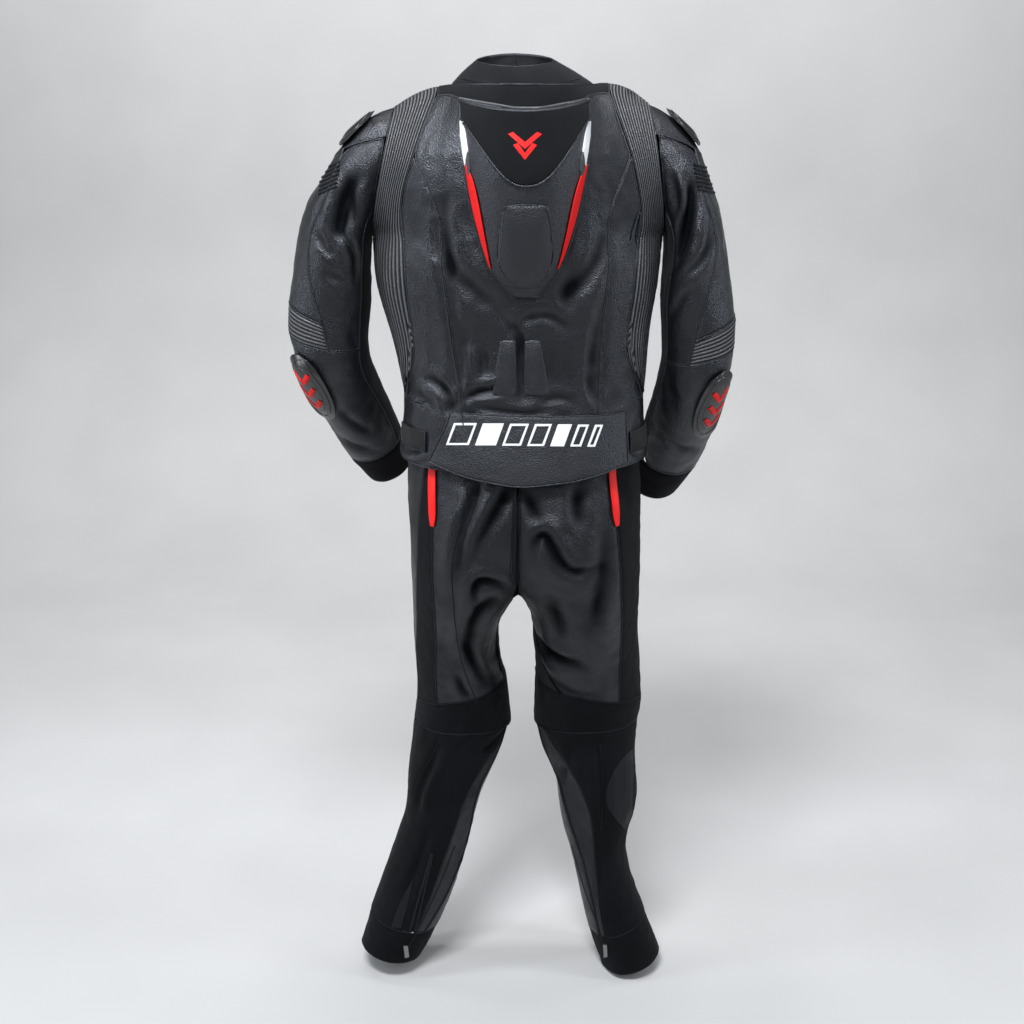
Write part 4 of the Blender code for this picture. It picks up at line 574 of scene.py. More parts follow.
# %% Fold helpers
def smooth_line(corners, steps=10):
    """A Catmull-Rom curve through the corners."""
    corners = np.asarray(corners, float)
    padded = np.vstack([2 * corners[0] - corners[1], corners, 2 * corners[-1] - corners[-2]])
    line = []
    for i in range(len(corners) - 1):
        a, b, c, d = padded[i:i + 4]
        for t in np.arange(steps) / steps:
            line.append(0.5 * (2 * b + (c - a) * t + (2 * a - 5 * b + 4 * c - d) * t**2
                               + (3 * b - a - 3 * c + d) * t**3))
    return np.array(line + [corners[-1]])


def to_line(spots, line):
    """Signed distance to a line on the drawing, and how far along it the nearest place is, 0 to 1."""
    starts, steps = line[:-1], np.diff(line, axis=0)
    sizes = (steps**2).sum(-1)
    t = np.clip(((spots[:, None] - starts) * steps).sum(-1) / sizes, 0, 1)
    away = spots[:, None] - (starts + t[..., None] * steps)
    gaps = np.hypot(away[..., 0], away[..., 1])
    best = gaps.argmin(1)
    rows = np.arange(len(spots))
    side = np.sign(steps[best, 0] * away[rows, best, 1] - steps[best, 1] * away[rows, best, 0])
    return gaps[rows, best] * side, (best + t[rows, best]) / len(steps)


print("a line with three corners becomes", len(smooth_line([(0, 0), (1, 1), (2, 0)])), "points")

# %% Fold heights
FOLD_GAIN = 1.5
RIDGE_AT, RIDGE_WIDTH = 1.9, 1.3


def fold_heights(spots, facing, folds):
    """Height in metres that the drawn folds add at each place of the drawing. A ridge lies 1.9 half widths
    from the valley's line, and a fold fades where the cloth turns away from the eye."""
    heights = np.zeros(len(spots))
    for corners, width, depth, left, right in folds:
        line = smooth_line(corners)
        low, high = line.min(0) - 5 * width, line.max(0) + 5 * width
        near = ((spots > low) & (spots < high)).all(1) & (facing > 0.05)
        if not near.any():
            continue
        gap, along = to_line(spots[near], line)
        fade = np.clip(np.sin(math.pi * np.clip(along, 0.02, 0.98)), 0, 1) ** 0.6
        valley = -np.exp(-((gap / width) ** 2))
        ridges = (right * np.exp(-(((gap - RIDGE_AT * width) / (RIDGE_WIDTH * width)) ** 2))
                  + left * np.exp(-(((gap + RIDGE_AT * width) / (RIDGE_WIDTH * width)) ** 2)))
        heights[near] += FOLD_GAIN * depth * fade * (valley + ridges) * np.clip(facing[near] * 2.5, 0, 1)
    return heights


def uneven(points, size, seed, sharp=False):
    """Slow noise from -1 to 1; `sharp` gives narrow valleys between soft swells."""
    shift = Vector((seed * 3.1, seed * 1.7, seed * 5.3))
    values = np.array([noise.noise(Vector(p) / size + shift) for p in points])
    return 0.6 - 2.0 * np.abs(values) if sharp else values


print("a fold's valley is lowered", FOLD_GAIN, "times its drawn depth")

# %% [markdown]
# ## Sewing
#
# Every leather edge is turned under before it is sewn, which leaves a round welt along the seam, and a row
# of short stitches holds the fold down beside it. Both are run along a panel's border: welts as thin
# five-sided tubes, and stitches as small grains of six corners and eight triangles. There are thousands of
# them, so a `Pile` gathers their points and faces and makes one piece of many.

# %% Piles
class Pile:
    """Points and faces that are gathered into one piece."""

    def __init__(self):
        self.points, self.faces, self.count = [], [], 0

    def add(self, points, faces):
        self.points.append(np.asarray(points, float).reshape(-1, 3))
        self.faces.append(np.asarray(faces) + self.count)
        self.count += len(self.points[-1])

    def piece(self, name, material, slot):
        mesh = bpy.data.meshes.new(name)
        faces = [face for group in self.faces for face in group.tolist()]
        mesh.from_pydata(np.vstack(self.points).tolist(), [], faces)
        mesh.materials.append(material)
        mesh.shade_smooth()
        obj = new_object(name, mesh)
        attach(obj, "suit")


print("piles ready")


# %% Even steps and tubes
def evenly(run, step, closed=True):
    """Points at even steps along a run, and the run's direction at each."""
    run = np.asarray(run, float)
    ring = np.vstack([run, run[:1]]) if closed else run
    far = np.concatenate([[0], np.cumsum(np.linalg.norm(np.diff(ring, axis=0), axis=1))])
    count = max(int(round(far[-1] / step)), 3)
    at = np.linspace(0, far[-1], count, endpoint=not closed)
    points = np.stack([np.interp(at, far, ring[:, k]) for k in range(3)], -1)
    reach, lap = 0.35 * step, far[-1] if closed else None
    ahead = np.stack([np.interp(at + reach, far, ring[:, k], period=lap) for k in range(3)], -1)
    back = np.stack([np.interp(at - reach, far, ring[:, k], period=lap) for k in range(3)], -1)
    along = ahead - back
    return points, along / np.maximum(np.linalg.norm(along, axis=1, keepdims=True), 1e-9)


def tube(pile, points, along, out, radius, closed=True, sides=5, flat=1.0):
    """A thin tube through points; `out` is the surface direction, `flat` squashes it on to the cloth."""
    aside = np.cross(along, out)
    aside /= np.maximum(np.linalg.norm(aside, axis=1, keepdims=True), 1e-9)
    turns = 2 * math.pi * np.arange(sides) / sides
    rings = (points[:, None] + radius * np.cos(turns)[None, :, None] * aside[:, None]
             + radius * flat * np.sin(turns)[None, :, None] * out[:, None])
    last = len(points) if closed else len(points) - 1
    here = np.arange(last)[:, None] * sides
    ahead = ((np.arange(last) + 1) % len(points))[:, None] * sides
    k = np.arange(sides)[None, :]
    turned = (k + 1) % sides
    faces = np.stack([here + k, here + turned, ahead + turned, ahead + k], -1).reshape(-1, 4)
    pile.add(rings.reshape(-1, 3), faces)


print("tubes ready")

# %% Stitches
STITCH_PITCH = 0.0042
GRAIN = np.array([[-1, 0, -0.4], [1, 0, -0.4], [0, -1, -0.2], [0, 1, -0.2], [0, 0, 1], [0, 0, -0.9]])
GRAIN_FACES = np.array([[0, 2, 4], [2, 1, 4], [1, 3, 4], [3, 0, 4], [2, 0, 5], [1, 2, 5], [3, 1, 5], [0, 3, 5]])


def stitches(pile, points, along, out, length=0.0027, width=0.0005, height=0.00042):
    """One small grain of thread at each point, eight triangles each."""
    aside = np.cross(out, along)
    grain = GRAIN * np.array([length / 2, width, height])
    corners = (points[:, None] + grain[None, :, :1] * along[:, None] + grain[None, :, 1:2] * aside[:, None]
               + grain[None, :, 2:] * out[:, None])
    first = np.arange(len(points))[:, None, None] * len(GRAIN)
    pile.add(corners.reshape(-1, 3), (first + GRAIN_FACES[None]).reshape(-1, 3))


print("a stitch every", STITCH_PITCH, "m")

# %% [markdown]
# ## The drawn folds
#
# Each entry is a line on the drawing, the half width of its valley there, its depth in metres, and how high
# a share of that its left and right ridges rise. The deep ones sit where the suit really bends: the upper
# sleeves, the left waist, the seat and behind the knees.

# %% Folds
FOLDS = [
    # upper left sleeve: the deep hollow beside the body, its hooked lip, and the fold below it
    ([(354, 176), (348, 190), (343, 206), (340, 224), (336, 240)], 8.5, 0.0105, 0.15, 0.35),
    ([(350, 196), (356, 210), (358, 226)], 6.0, 0.0050, 0.0, 0.3),
    ([(312, 222), (320, 240), (328, 252), (334, 248)], 3.6, 0.0030, 0.5, 0.1),
    ([(341, 232), (348, 242), (356, 258), (357, 280)], 3.6, 0.0030, 0.5, 0.5),
    ([(322, 268), (336, 278), (352, 282)], 5.0, 0.0016, 0.3, 0.4),
    # upper right sleeve: the long hollow, and the wedge beside it
    ([(690, 180), (692, 200), (688, 222), (680, 246), (670, 266)], 7.0, 0.0090, 0.3, 0.3),
    ([(672, 176), (676, 196), (676, 216)], 4.6, 0.0040, 0.4, 0.2),
    ([(713, 222), (711, 244), (701, 262), (684, 276)], 4.6, 0.0040, 0.5, 0.4),
    ([(692, 290), (680, 302), (670, 318)], 4.5, 0.0024, 0.4, 0.4),
    # forearms, soft folds towards the cuffs
    ([(326, 428), (341, 441), (358, 449), (376, 452)], 3.6, 0.0026, 0.4, 0.5),
    ([(334, 408), (352, 424), (372, 434)], 4.2, 0.0022, 0.4, 0.3),
    ([(352, 330), (360, 356), (366, 384)], 5.0, 0.0020, 0.3, 0.3),
    ([(664, 436), (682, 449), (702, 450)], 3.6, 0.0024, 0.4, 0.4),
    ([(700, 462), (686, 474), (668, 478)], 4.0, 0.0022, 0.4, 0.3),
    ([(664, 356), (668, 384), (676, 410)], 5.0, 0.0022, 0.3, 0.3),
    # back, below and beside the hump
    ([(440, 232), (450, 262), (470, 288), (496, 306)], 9.0, 0.0044, 0.5, 0.3),
    ([(606, 230), (598, 258), (580, 284), (556, 304)], 9.0, 0.0044, 0.3, 0.5),
    ([(447, 190), (443, 220), (444, 250), (452, 290), (456, 330)], 6.0, 0.0030, 0.6, 0.3),
    ([(604, 300), (598, 330), (594, 360), (596, 392)], 6.0, 0.0030, 0.3, 0.6),
    ([(480, 340), (484, 362), (480, 386)], 6.0, 0.0026, 0.4, 0.4),
    ([(512, 328), (530, 318), (550, 317), (570, 330)], 5.0, 0.0028, 0.6, 0.3),
    ([(500, 316), (512, 326), (520, 340), (521, 360)], 5.0, 0.0024, 0.5, 0.3),
    ([(522, 330), (521, 352), (521, 376), (523, 402)], 5.0, 0.0026, 0.3, 0.3),
    ([(566, 210), (572, 250), (570, 290), (566, 330)], 9.0, 0.0024, 0.4, 0.2),
    ([(470, 320), (462, 350), (460, 380)], 7.0, 0.0026, 0.4, 0.3),
    # waist: sweeping folds and the hook at the left
    ([(450, 410), (462, 400), (480, 392), (500, 388), (516, 372)], 4.4, 0.0044, 0.6, 0.3),
    ([(424, 376), (438, 384), (448, 396), (450, 412)], 4.4, 0.0048, 0.5, 0.4),
    ([(408, 392), (420, 396), (432, 408)], 3.8, 0.0034, 0.4, 0.3),
    ([(470, 404), (496, 411), (526, 414), (556, 410)], 3.8, 0.0024, 0.4, 0.3),
    ([(540, 404), (558, 398), (574, 402)], 3.6, 0.0022, 0.5, 0.2),
    ([(404, 448), (412, 452), (422, 450)], 3.0, 0.0030, 0.5, 0.3),
    ([(402, 458), (414, 463), (428, 460)], 3.0, 0.0030, 0.5, 0.3),
    ([(630, 450), (638, 455), (644, 452)], 3.0, 0.0026, 0.4, 0.3),
    ([(586, 372), (592, 390), (604, 408)], 4.4, 0.0024, 0.3, 0.3),
    # seat, left: the long V below the flap
    ([(480, 480), (472, 508), (462, 540), (455, 576)], 6.0, 0.0064, 0.5, 0.6),
    ([(512, 480), (498, 508), (482, 536), (466, 570)], 7.0, 0.0062, 0.3, 0.6),
    # seat, right: the diagonal swell and the hooked loop
    ([(520, 488), (534, 512), (540, 530)], 6.0, 0.0036, 0.1, 0.6),
    ([(535, 556), (536, 542), (544, 537), (552, 548), (560, 562), (574, 572), (600, 568)], 6.0, 0.0078, 0.5, 0.1),
    ([(580, 484), (578, 508), (584, 530)], 8.0, 0.0044, 0.2, 0.5),
    ([(604, 520), (606, 560), (600, 600), (594, 630)], 8.0, 0.0036, 0.4, 0.2),
    # crotch and thighs
    ([(510, 589), (494, 583), (480, 582), (474, 590), (474, 606)], 4.6, 0.0062, 0.2, 0.7),
    ([(504, 600), (488, 606), (476, 618), (470, 640), (470, 664)], 6.5, 0.0062, 0.4, 0.3),
    ([(462, 640), (474, 662), (486, 682)], 4.4, 0.0036, 0.4, 0.4),
    ([(456, 676), (462, 690), (472, 702)], 3.8, 0.0034, 0.5, 0.4),
    ([(534, 632), (546, 650), (562, 660), (586, 668)], 5.0, 0.0062, 0.8, 0.3),
    ([(540, 670), (554, 684), (570, 694), (592, 700)], 4.8, 0.0034, 0.5, 0.3),
    ([(548, 600), (556, 622), (560, 640)], 7.0, 0.0034, 0.3, 0.4),
    # calves
    ([(440, 742), (432, 764), (420, 790), (414, 816)], 4.6, 0.0040, 0.5, 0.3),
    ([(596, 742), (601, 768), (603, 798), (602, 826)], 4.6, 0.0044, 0.5, 0.5),
    ([(574, 746), (566, 768), (560, 790)], 4.6, 0.0026, 0.3, 0.3),
    ([(478, 722), (470, 738), (456, 752)], 4.0, 0.0028, 0.4, 0.4),
    ([(604, 850), (598, 880), (596, 910)], 5.0, 0.0030, 0.4, 0.4),
    ([(430, 830), (420, 860), (404, 900)], 5.0, 0.0030, 0.4, 0.4),
]
print(len(FOLDS), "folds drawn")

# %% [markdown]
# ## Dressing a panel
#
# One helper does the same work for each cut piece: take its outer side, subdivide it, lay the folds and the
# unevenness on it, dip its edges into the seams, and give it the thickness of the hide. A cloth simulation
# would fold each panel in its own way and open the seams between them, so the folds are given as drawn lines and
# fade near a border, where neighbours have to meet. The panel's border is kept for the sewing, and the
# plain wall the panel stands for is hidden.

# %% Panel helper
skin, edges, sheets = {}, {}, []
HIDE, FABRIC = 0.0014, 0.0012
SWELL_SIZE = 0.055
SEAM_REACH, DIP_REACH, RIB_FADE = 0.008, 0.003, 0.005
SEAM_DIP = 0.0007
WEAR_AND_PAINTED_SHADE_RISE = 0.007


def dressed(name, material, levels=3, uneven_by=0.0015, folds=FOLDS, ribs=None, thick=HIDE, way=(1, 0, 0),
            turn=PANEL_TURN, narrow=RIM_HEIGHT, inside=LINING):
    """Makes a frame piece's cloth. `ribs` is the height of its ribs, which are numbered along `way`."""
    bm = outer_side(name, turn, narrow)
    if ribs:
        bm.verts.layers.float.new("column")
        iron_ribs(bm, number_columns(bm, way))
    mesh = subdivided(bm, name + "_cloth", levels)
    points, out = points_of(mesh), normals_of(mesh)
    runs = borders_of(mesh)
    rim = tree_of([points[v] for run in runs for v in run])
    gap = np.array([rim.find(p)[2] for p in points])
    sight = points - EYE
    facing = -(out * sight).sum(-1) / np.linalg.norm(sight, axis=1)
    height = fold_heights(grid_of(points), facing, folds) if folds else np.zeros(len(points))
    height *= 1 - 0.8 * np.exp(-((gap / SEAM_REACH) ** 2))
    swells, dents = uneven(points, 2.2 * SWELL_SIZE, 3), uneven(points, SWELL_SIZE / 2.0, 8, True)
    height += uneven_by * (2.2 * swells + 0.7 * dents - 0.4)
    height -= SEAM_DIP * np.exp(-((gap / DIP_REACH) ** 2))
    if ribs:
        column = np.empty(len(points), np.float32)
        mesh.attributes["column"].data.foreach_get("value", column)
        height += ribs * (np.abs(np.sin(math.pi * column / 2)) ** 0.7 - 0.6) * np.clip(gap / RIB_FADE, 0, 1)
    points = points + out * height[:, None]
    put_points(mesh, points)
    # Low in fold valleys and high on crests: the leather shader turns this into painted shade in the valleys, and
    # rubbed polish with a painted highlight on the crests.
    wear_and_painted_shade = mesh.attributes.new("wear_and_painted_shade", "FLOAT", "POINT")
    wear_and_painted_shade.data.foreach_set("value", np.clip(0.5 + height / WEAR_AND_PAINTED_SHADE_RISE, -0.6, 1).astype(np.float32))
    mesh.shade_smooth()
    mesh.materials.clear()
    mesh.materials.append(material)
    mesh.materials.append(inside)
    obj = new_object(name + "_cloth", mesh)
    wall = obj.modifiers.new("wall", "SOLIDIFY")
    wall.thickness = thick
    wall.offset = -1
    wall.material_offset = 1
    wall.material_offset_rim = 0
    out = normals_of(mesh)
    faces = [tuple(poly.vertices) for poly in mesh.polygons]
    skin[name] = (points, faces)
    edges[name] = [(points[run], out[run]) for run in runs]
    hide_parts(name)
    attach(obj, "suit")
    sheets.append((obj, name, mesh))


def both(*names):
    """The left and right pieces of these names."""
    return [f"{name}_{side}" for name in names for side in "LR"]


print("folds fade over", SEAM_REACH, "m beside a seam")

# %% [markdown]
# ## Dressing the jacket and the trousers
#
# Cowhide covers what slides on the road, ribbed leather bends behind the arms and at the elbows, knit fabric
# lets the inner sleeves and calves stretch, and neoprene softens the neck. The panels go through the helper
# in that order. Those that are seen from afar or from the front need one level of subdivision less.

# %% Dress the jacket
for name in ["back_centre", *both("back_side")]:
    dressed(name, BLACK)
for name in both("front"):
    dressed(name, BLACK, levels=2)
for name in both("accordion"):
    dressed(name, RIBBED, ribs=0.0022, uneven_by=0.0004, folds=None, turn=RIB_TURN, narrow=0)
for name in both("sleeve_cap", "sleeve_back", "sleeve_outer", "forearm"):
    dressed(name, BLACK)
for name in both("elbow_ribs"):
    dressed(name, RIBBED, ribs=0.0018, uneven_by=0.0004, folds=None, way=(0, 0, -1), turn=RIB_TURN, narrow=0)
for name in both("sleeve_inner", "cuff"):
    dressed(name, STRETCH, levels=2, thick=FABRIC)
for name in both("waist_tab"):
    dressed(name, LOOPS, levels=2, thick=FABRIC)
for name in ["neck_yoke", "collar_back"]:
    dressed(name, NEOPRENE, levels=2, uneven_by=0.0005)
for name in both("collar_front"):
    dressed(name, BLACK, uneven_by=0.0004, inside=GREY)
for name in ["main_zip", "hump_top"]:
    dressed(name, NEOPRENE, levels=2, uneven_by=0.0002, folds=None)
dressed("lumbar_flap", PLAIN, levels=2, uneven_by=0.0005, folds=None)
print("jacket dressed:", len(sheets), "panels")

# %% Dress the trousers
for name in both("seat"):
    dressed(name, LEGS_PAINTED_SHADE)
for name in both("leg_front"):
    dressed(name, LEGS_PAINTED_SHADE, levels=2)
for name in both("calf_leather"):
    dressed(name, LEGS_PAINTED_SHADE)
for name in both("leg_side", "inner_thigh", "knee_band", "calf", "ankle"):
    dressed(name, STRETCH, thick=FABRIC)
print("suit dressed:", len(sheets), "panels,", sum(len(m.polygons) for _, _, m in sheets), "quads")

# %% [markdown]
# ## Raised pieces
#
# The hump is a stiff foam block under leather, the pads are thin foam under leather, and the red strips are
# smooth leather laid on top. They are closed pieces already, so each is a copy of its frame piece, merged,
# rounded by subdivision and held sharp only where its rim meets the suit.

# %% Raised pieces
def rounded(name, material, levels=2, crease=0.5, sharp=0.9):
    """A smooth copy of a closed frame piece. Edges that bend more than `sharp` radians keep this crease."""
    mesh = nodes[name].data.copy()
    mesh.name = name + "_piece"
    bm = bmesh.new()
    bm.from_mesh(mesh)
    bmesh.ops.remove_doubles(bm, verts=bm.verts, dist=DOUBLES)
    bmesh.ops.join_triangles(bm, faces=bm.faces, angle_face_threshold=0.6, angle_shape_threshold=1.5)
    layer = bm.edges.layers.float.get("crease_edge") or bm.edges.layers.float.new("crease_edge")
    for edge in bm.edges:
        if edge.calc_face_angle(0) > sharp:
            edge[layer] = crease
    bm.to_mesh(mesh)
    bm.free()
    mesh.materials.clear()
    mesh.materials.append(material)
    mesh.shade_smooth()
    obj = new_object(name + "_piece", mesh)
    smooth = obj.modifiers.new("smooth", "SUBSURF")
    smooth.levels = smooth.render_levels = levels
    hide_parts(name)
    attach(obj, "suit")
    bpy.context.view_layer.update()
    done = obj.evaluated_get(bpy.context.evaluated_depsgraph_get()).to_mesh()
    skin[name] = (points_of(done), [tuple(poly.vertices) for poly in done.polygons])
    return obj


for name, levels, fill in (("hump_shell", 3, 0.9), ("hump_pad", 2, 0.7), ("lumbar_pad_L", 2, 0.7),
                           ("lumbar_pad_R", 2, 0.7)):
    obj = rounded(name, PLAIN, levels)
for name in both("hump_red", "hip_accent"):
    rounded(name, RED)
for name in both("shoulder_slider", "elbow_slider"):
    rounded(name, SLIDER, levels=3, crease=0.7, sharp=0.7)
for name in ("main_zip_slider", "main_zip_pull"):
    nodes[name].data.materials.clear()
    nodes[name].data.materials.append(NICKEL)
print("raised pieces ready")

# %% [markdown]
# ## Sewing the borders
#
# A machine sews leather with the two edges turned under, then runs a visible row 3 to 4 mm beside the seam.
# Knit is overlocked from inside and shows only a thin welt. Each border is walked at even steps, and every
# step asks the dressed panel where it is and which way it faces, so that welt and thread lie on the folds.
# Stitches that would run over another border of the panel are left out.

# %% Sew the borders
LEATHERS = {"back_centre", "lumbar_flap", *both("back_side", "front", "sleeve_cap", "sleeve_back", "sleeve_outer",
            "forearm", "seat", "leg_front", "calf_leather", "collar_front")}
WELT_STEP = 0.005
welts = {part: Pile() for part in ("jacket", "sleeves", "trousers")}
threads = {part: Pile() for part in welts}


def part_of(name):
    """Whether a panel belongs to the sleeves, the trousers or the jacket's body."""
    if any(word in name for word in ("sleeve", "forearm", "elbow", "cuff")):
        return "sleeves"
    if any(word in name for word in ("seat", "leg", "thigh", "knee", "calf", "ankle")):
        return "trousers"
    return "jacket"


def split(hits):
    """Places and facings of a list of hits, as two arrays."""
    return np.array([tuple(hit[0]) for hit in hits]), np.array([tuple(hit[1]) for hit in hits])


def lie(tree, spots):
    """The nearest places of a surface, and which way it faces there."""
    return split([tree.find_nearest(p) for p in spots])


def sew(name, welt, row=None):
    """A welt of this radius along a panel's borders, and a row of stitches `row` metres inside them."""
    points, faces = skin[name]
    tree = BVHTree.FromPolygons(points.tolist(), faces)
    rim = tree_of([p for line, _ in edges[name] for p in line])
    for line, _ in edges[name]:
        spots, along = evenly(line, WELT_STEP)
        out = lie(tree, spots)[1]
        inward = np.cross(out, along)
        tube(welts[part_of(name)], spots + inward * 0.9 * welt + out * 0.0001, along, out, welt, flat=0.9)
        if row:
            spots, along = evenly(line, STITCH_PITCH)
            inward = np.cross(lie(tree, spots)[1], along)
            spots, out = lie(tree, spots + inward * row)
            clear = np.array([rim.find(p)[2] for p in spots]) > 0.86 * row
            stitches(threads[part_of(name)], spots[clear], along[clear], out[clear])


for _, name, _ in sheets:
    if name in LEATHERS:
        sew(name, welt=0.0011, row=0.0036)
    elif "accordion" not in name and "elbow_ribs" not in name and name != "main_zip":
        sew(name, welt=0.0007)
for part in welts:
    welts[part].piece(f"welts_{part}", LEGS_PAINTED_SHADE if part == "trousers" else PLAIN, "black_leather")
    threads[part].piece(f"stitches_{part}", THREAD, "black_leather")
    print(part, "welts", welts[part].count, "stitch points", threads[part].count)

# %% [markdown]
# ## Laying trim on the suit
#
# Trim follows the cloth below it. A tree of the dressed surface answers where a line of sight first meets
# the suit, so a seam or a plate can be drawn flat on the back view and dropped on to the cloth. Piping is a
# tube along such a line. A plate is a flat outline that is cut into small cells before it is dropped, and a
# Solidify modifier then gives it a body that sinks a little way into the cloth.

# %% Dropping lines
SUIT_AWAY = 2.1


def surface(*names):
    """A search tree of these dressed pieces together."""
    points, faces = [], []
    for name in names:
        spots, cells = skin[name]
        faces += [tuple(i + len(points) for i in cell) for cell in cells]
        points += spots.tolist()
    return BVHTree.FromPolygons(points, faces)


def dropped(tree, x, y):
    """Where the line of sight through a place of the drawing meets the surface, and which way it faces."""
    way = ray_of(x, y)
    place, out, _, _ = tree.ray_cast(Vector(EYE), way)
    if place is None:
        place, out, _, _ = tree.find_nearest(Vector(EYE) + way * SUIT_AWAY)
    return place, (out if out.dot(way) < 0 else -out)


def traced(tree, corners, steps=10):
    """A curve through corners of the drawing, dropped on to the surface."""
    return split([dropped(tree, x, y) for x, y in smooth_line(corners, steps)])


print("lines can be dropped on the suit, about", SUIT_AWAY, "m from the camera")

# %% Piping and plates
PIPING_STEP = 0.004
SUNK = 0.0004


def line_tube(pile, spots, outs, radius, flat=0.9, lift=0.0, closed=False):
    """A tube along a run of surface points, its directions read again at even steps."""
    points, along = evenly(spots, PIPING_STEP, closed)
    nearest = tree_of(spots)
    out = np.array([outs[nearest.find(p)[1]] for p in points])
    out -= (out * along).sum(-1, keepdims=True) * along
    out /= np.linalg.norm(out, axis=1, keepdims=True)
    tube(pile, points + out * lift, along, out, radius, closed, 6, flat)


def plate(name, outline, tree, top, material, step=4.0):
    """A thin plate with this outline on the drawing, whose upper side lies `top` metres above the surface.
    It is cut into cells `step` wide."""
    bm = bmesh.new()
    bm.faces.new([bm.verts.new((x, y, 0)) for x, y in outline])
    low, high = np.min(outline, 0), np.max(outline, 0)
    for axis, normal in ((0, (1, 0, 0)), (1, (0, 1, 0))):
        for cut in np.arange(low[axis] + step, high[axis] - 0.3 * step, step):
            bmesh.ops.bisect_plane(bm, geom=bm.verts[:] + bm.edges[:] + bm.faces[:], dist=1e-4,
                                   plane_co=Vector(normal) * cut, plane_no=normal)
    for v in bm.verts:
        place, out = dropped(tree, v.co.x, v.co.y)
        v.co = place + out * top
    bm.normal_update()
    if sum(f.normal.dot(Vector(EYE) - f.calc_center_median()) for f in bm.faces) < 0:
        bmesh.ops.reverse_faces(bm, faces=bm.faces)
    mesh = bpy.data.meshes.new(name)
    bm.to_mesh(mesh)
    bm.free()
    mesh.materials.append(material)
    obj = new_object(name, mesh)
    wall = obj.modifiers.new("wall", "SOLIDIFY")
    wall.thickness = top + SUNK
    wall.offset = -1
    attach(obj, "suit")


print("trim tools ready")

# %% [markdown]
# ## The hump's trim
#
# A rolled grey edge closes the hump's concave top, and a black piping runs round its rim, along the V of its
# top panel and round its pad. White and grey slivers of leather lie above the red strips. The right slivers
# are the left ones mirrored in the suit's middle line, which stands at half of `MIRROR` on the drawing.

# %% Hump
on_hump = surface("hump_shell", "hump_top", "hump_pad")
hump_piping, rolled_edge = Pile(), Pile()
shell = outer_side("hump_shell")
shell_mesh = bpy.data.meshes.new("shell")
shell.to_mesh(shell_mesh)
shell.free()
for run in borders_of(shell_mesh):
    line_tube(hump_piping, points_of(shell_mesh)[run], normals_of(shell_mesh)[run], 0.0017, closed=True)
bpy.data.meshes.remove(shell_mesh)
TOP_EDGE = [(460, 95), (472, 99), (488, 104), (507, 108), (527, 109), (546, 108), (564, 104), (579, 99), (590, 95)]
line_tube(rolled_edge, *traced(on_hump, TOP_EDGE), 0.0026, lift=0.0008)
rolled_edge.piece("hump_rolled_edge", GREY, "black_leather")
for line, outs in edges["hump_top"]:
    line_tube(hump_piping, line, outs, 0.0013, closed=True)
PAD_EDGE = [(516, 287), (504, 275), (497, 257), (499, 230), (502, 212), (509, 206), (541, 206), (548, 212), (551, 230),
            (553, 257), (547, 275), (536, 287)]
line_tube(hump_piping, *traced(on_hump, PAD_EDGE), 0.0011)
hump_piping.piece("hump_piping", PLAIN, "black_leather")

# %% Slivers
MIRROR = 1050.5
LEFT_WHITE = [(461, 121), (463.5, 122), (466, 135), (468, 150), (468, 161), (466, 166), (463.5, 152), (461.5, 136)]
LEFT_GREY = [(468.5, 152), (470, 160), (471, 170), (470, 176), (467, 170), (467, 160)]
for side, flip in (("L", lambda x: x), ("R", lambda x: MIRROR - x)):
    plate(f"hump_white_{side}", [(flip(x), y) for x, y in LEFT_WHITE], on_hump, 0.0022, WHITE, 2.5)
    plate(f"hump_grey_{side}", [(flip(x), y) for x, y in LEFT_GREY], on_hump, 0.0024, GREY, 2.5)
print("hump trimmed:", hump_piping.count, "piping points")

# %% [markdown]
# ## Plain designs on the flap, the sliders and the hump
#
# These places carry decoration in leather or print. A plain design of our own stands there: slanted bars with
# a white outline on the flap, chevrons on the elbow sliders and two small chevrons on the hump. They could
# be painted in the material, but applied leather has an edge that catches light, so each is a thin plate. A
# black plate on a white one leaves the white outline.

# %% Flap bars
on_flap = surface("lumbar_flap")
BAR_LEFTS = (446, 475, 502, 527, 550, 570, 587)
BAR_WIDTHS = (23, 21, 19, 17, 14, 11, 8)
BAR_BOTTOM, BAR_HEIGHT, BAR_SLANT = 445, 22, 8.0
ROW_SLOPE = 0.012
OUTLINE = 2.2


def bar(left, width, inset, bottom):
    """Corners of a slanted bar, drawn in by `inset` on every side."""
    low, high = bottom - inset, bottom - BAR_HEIGHT + inset
    lean = BAR_SLANT * inset / BAR_HEIGHT
    return [(left + inset + lean, low), (left + width - inset + lean * 0.4, low),
            (left + width - inset + BAR_SLANT - lean, high), (left + inset + BAR_SLANT - lean * 0.4, high)]


for i, (left, width) in enumerate(zip(BAR_LEFTS, BAR_WIDTHS)):
    bottom = BAR_BOTTOM + ROW_SLOPE * (left - BAR_LEFTS[0])
    plate(f"flap_bar_{i}", bar(left, width, 0, bottom), on_flap, 0.0006, WHITE, 5.0)
    if i % 3 != 1:
        plate(f"flap_bar_fill_{i}", bar(left, width, OUTLINE, bottom), on_flap, 0.0009, PLAIN, 5.0)
print(len(BAR_LEFTS), "bars on the flap")

# %% Hump chevrons
CHEVRON_X = 525
CHEVRONS = ((134, 17), (145, 12))
for i, (y, half) in enumerate(CHEVRONS):
    plate(f"hump_chevron_{i}", [(CHEVRON_X - half, y), (CHEVRON_X - half + 5, y - 2), (CHEVRON_X, y + 8),
                                (CHEVRON_X + half - 5, y - 2), (CHEVRON_X + half, y), (CHEVRON_X, y + 15)],
          on_hump, 0.0006, RED)
print(len(CHEVRONS), "chevrons on the hump")

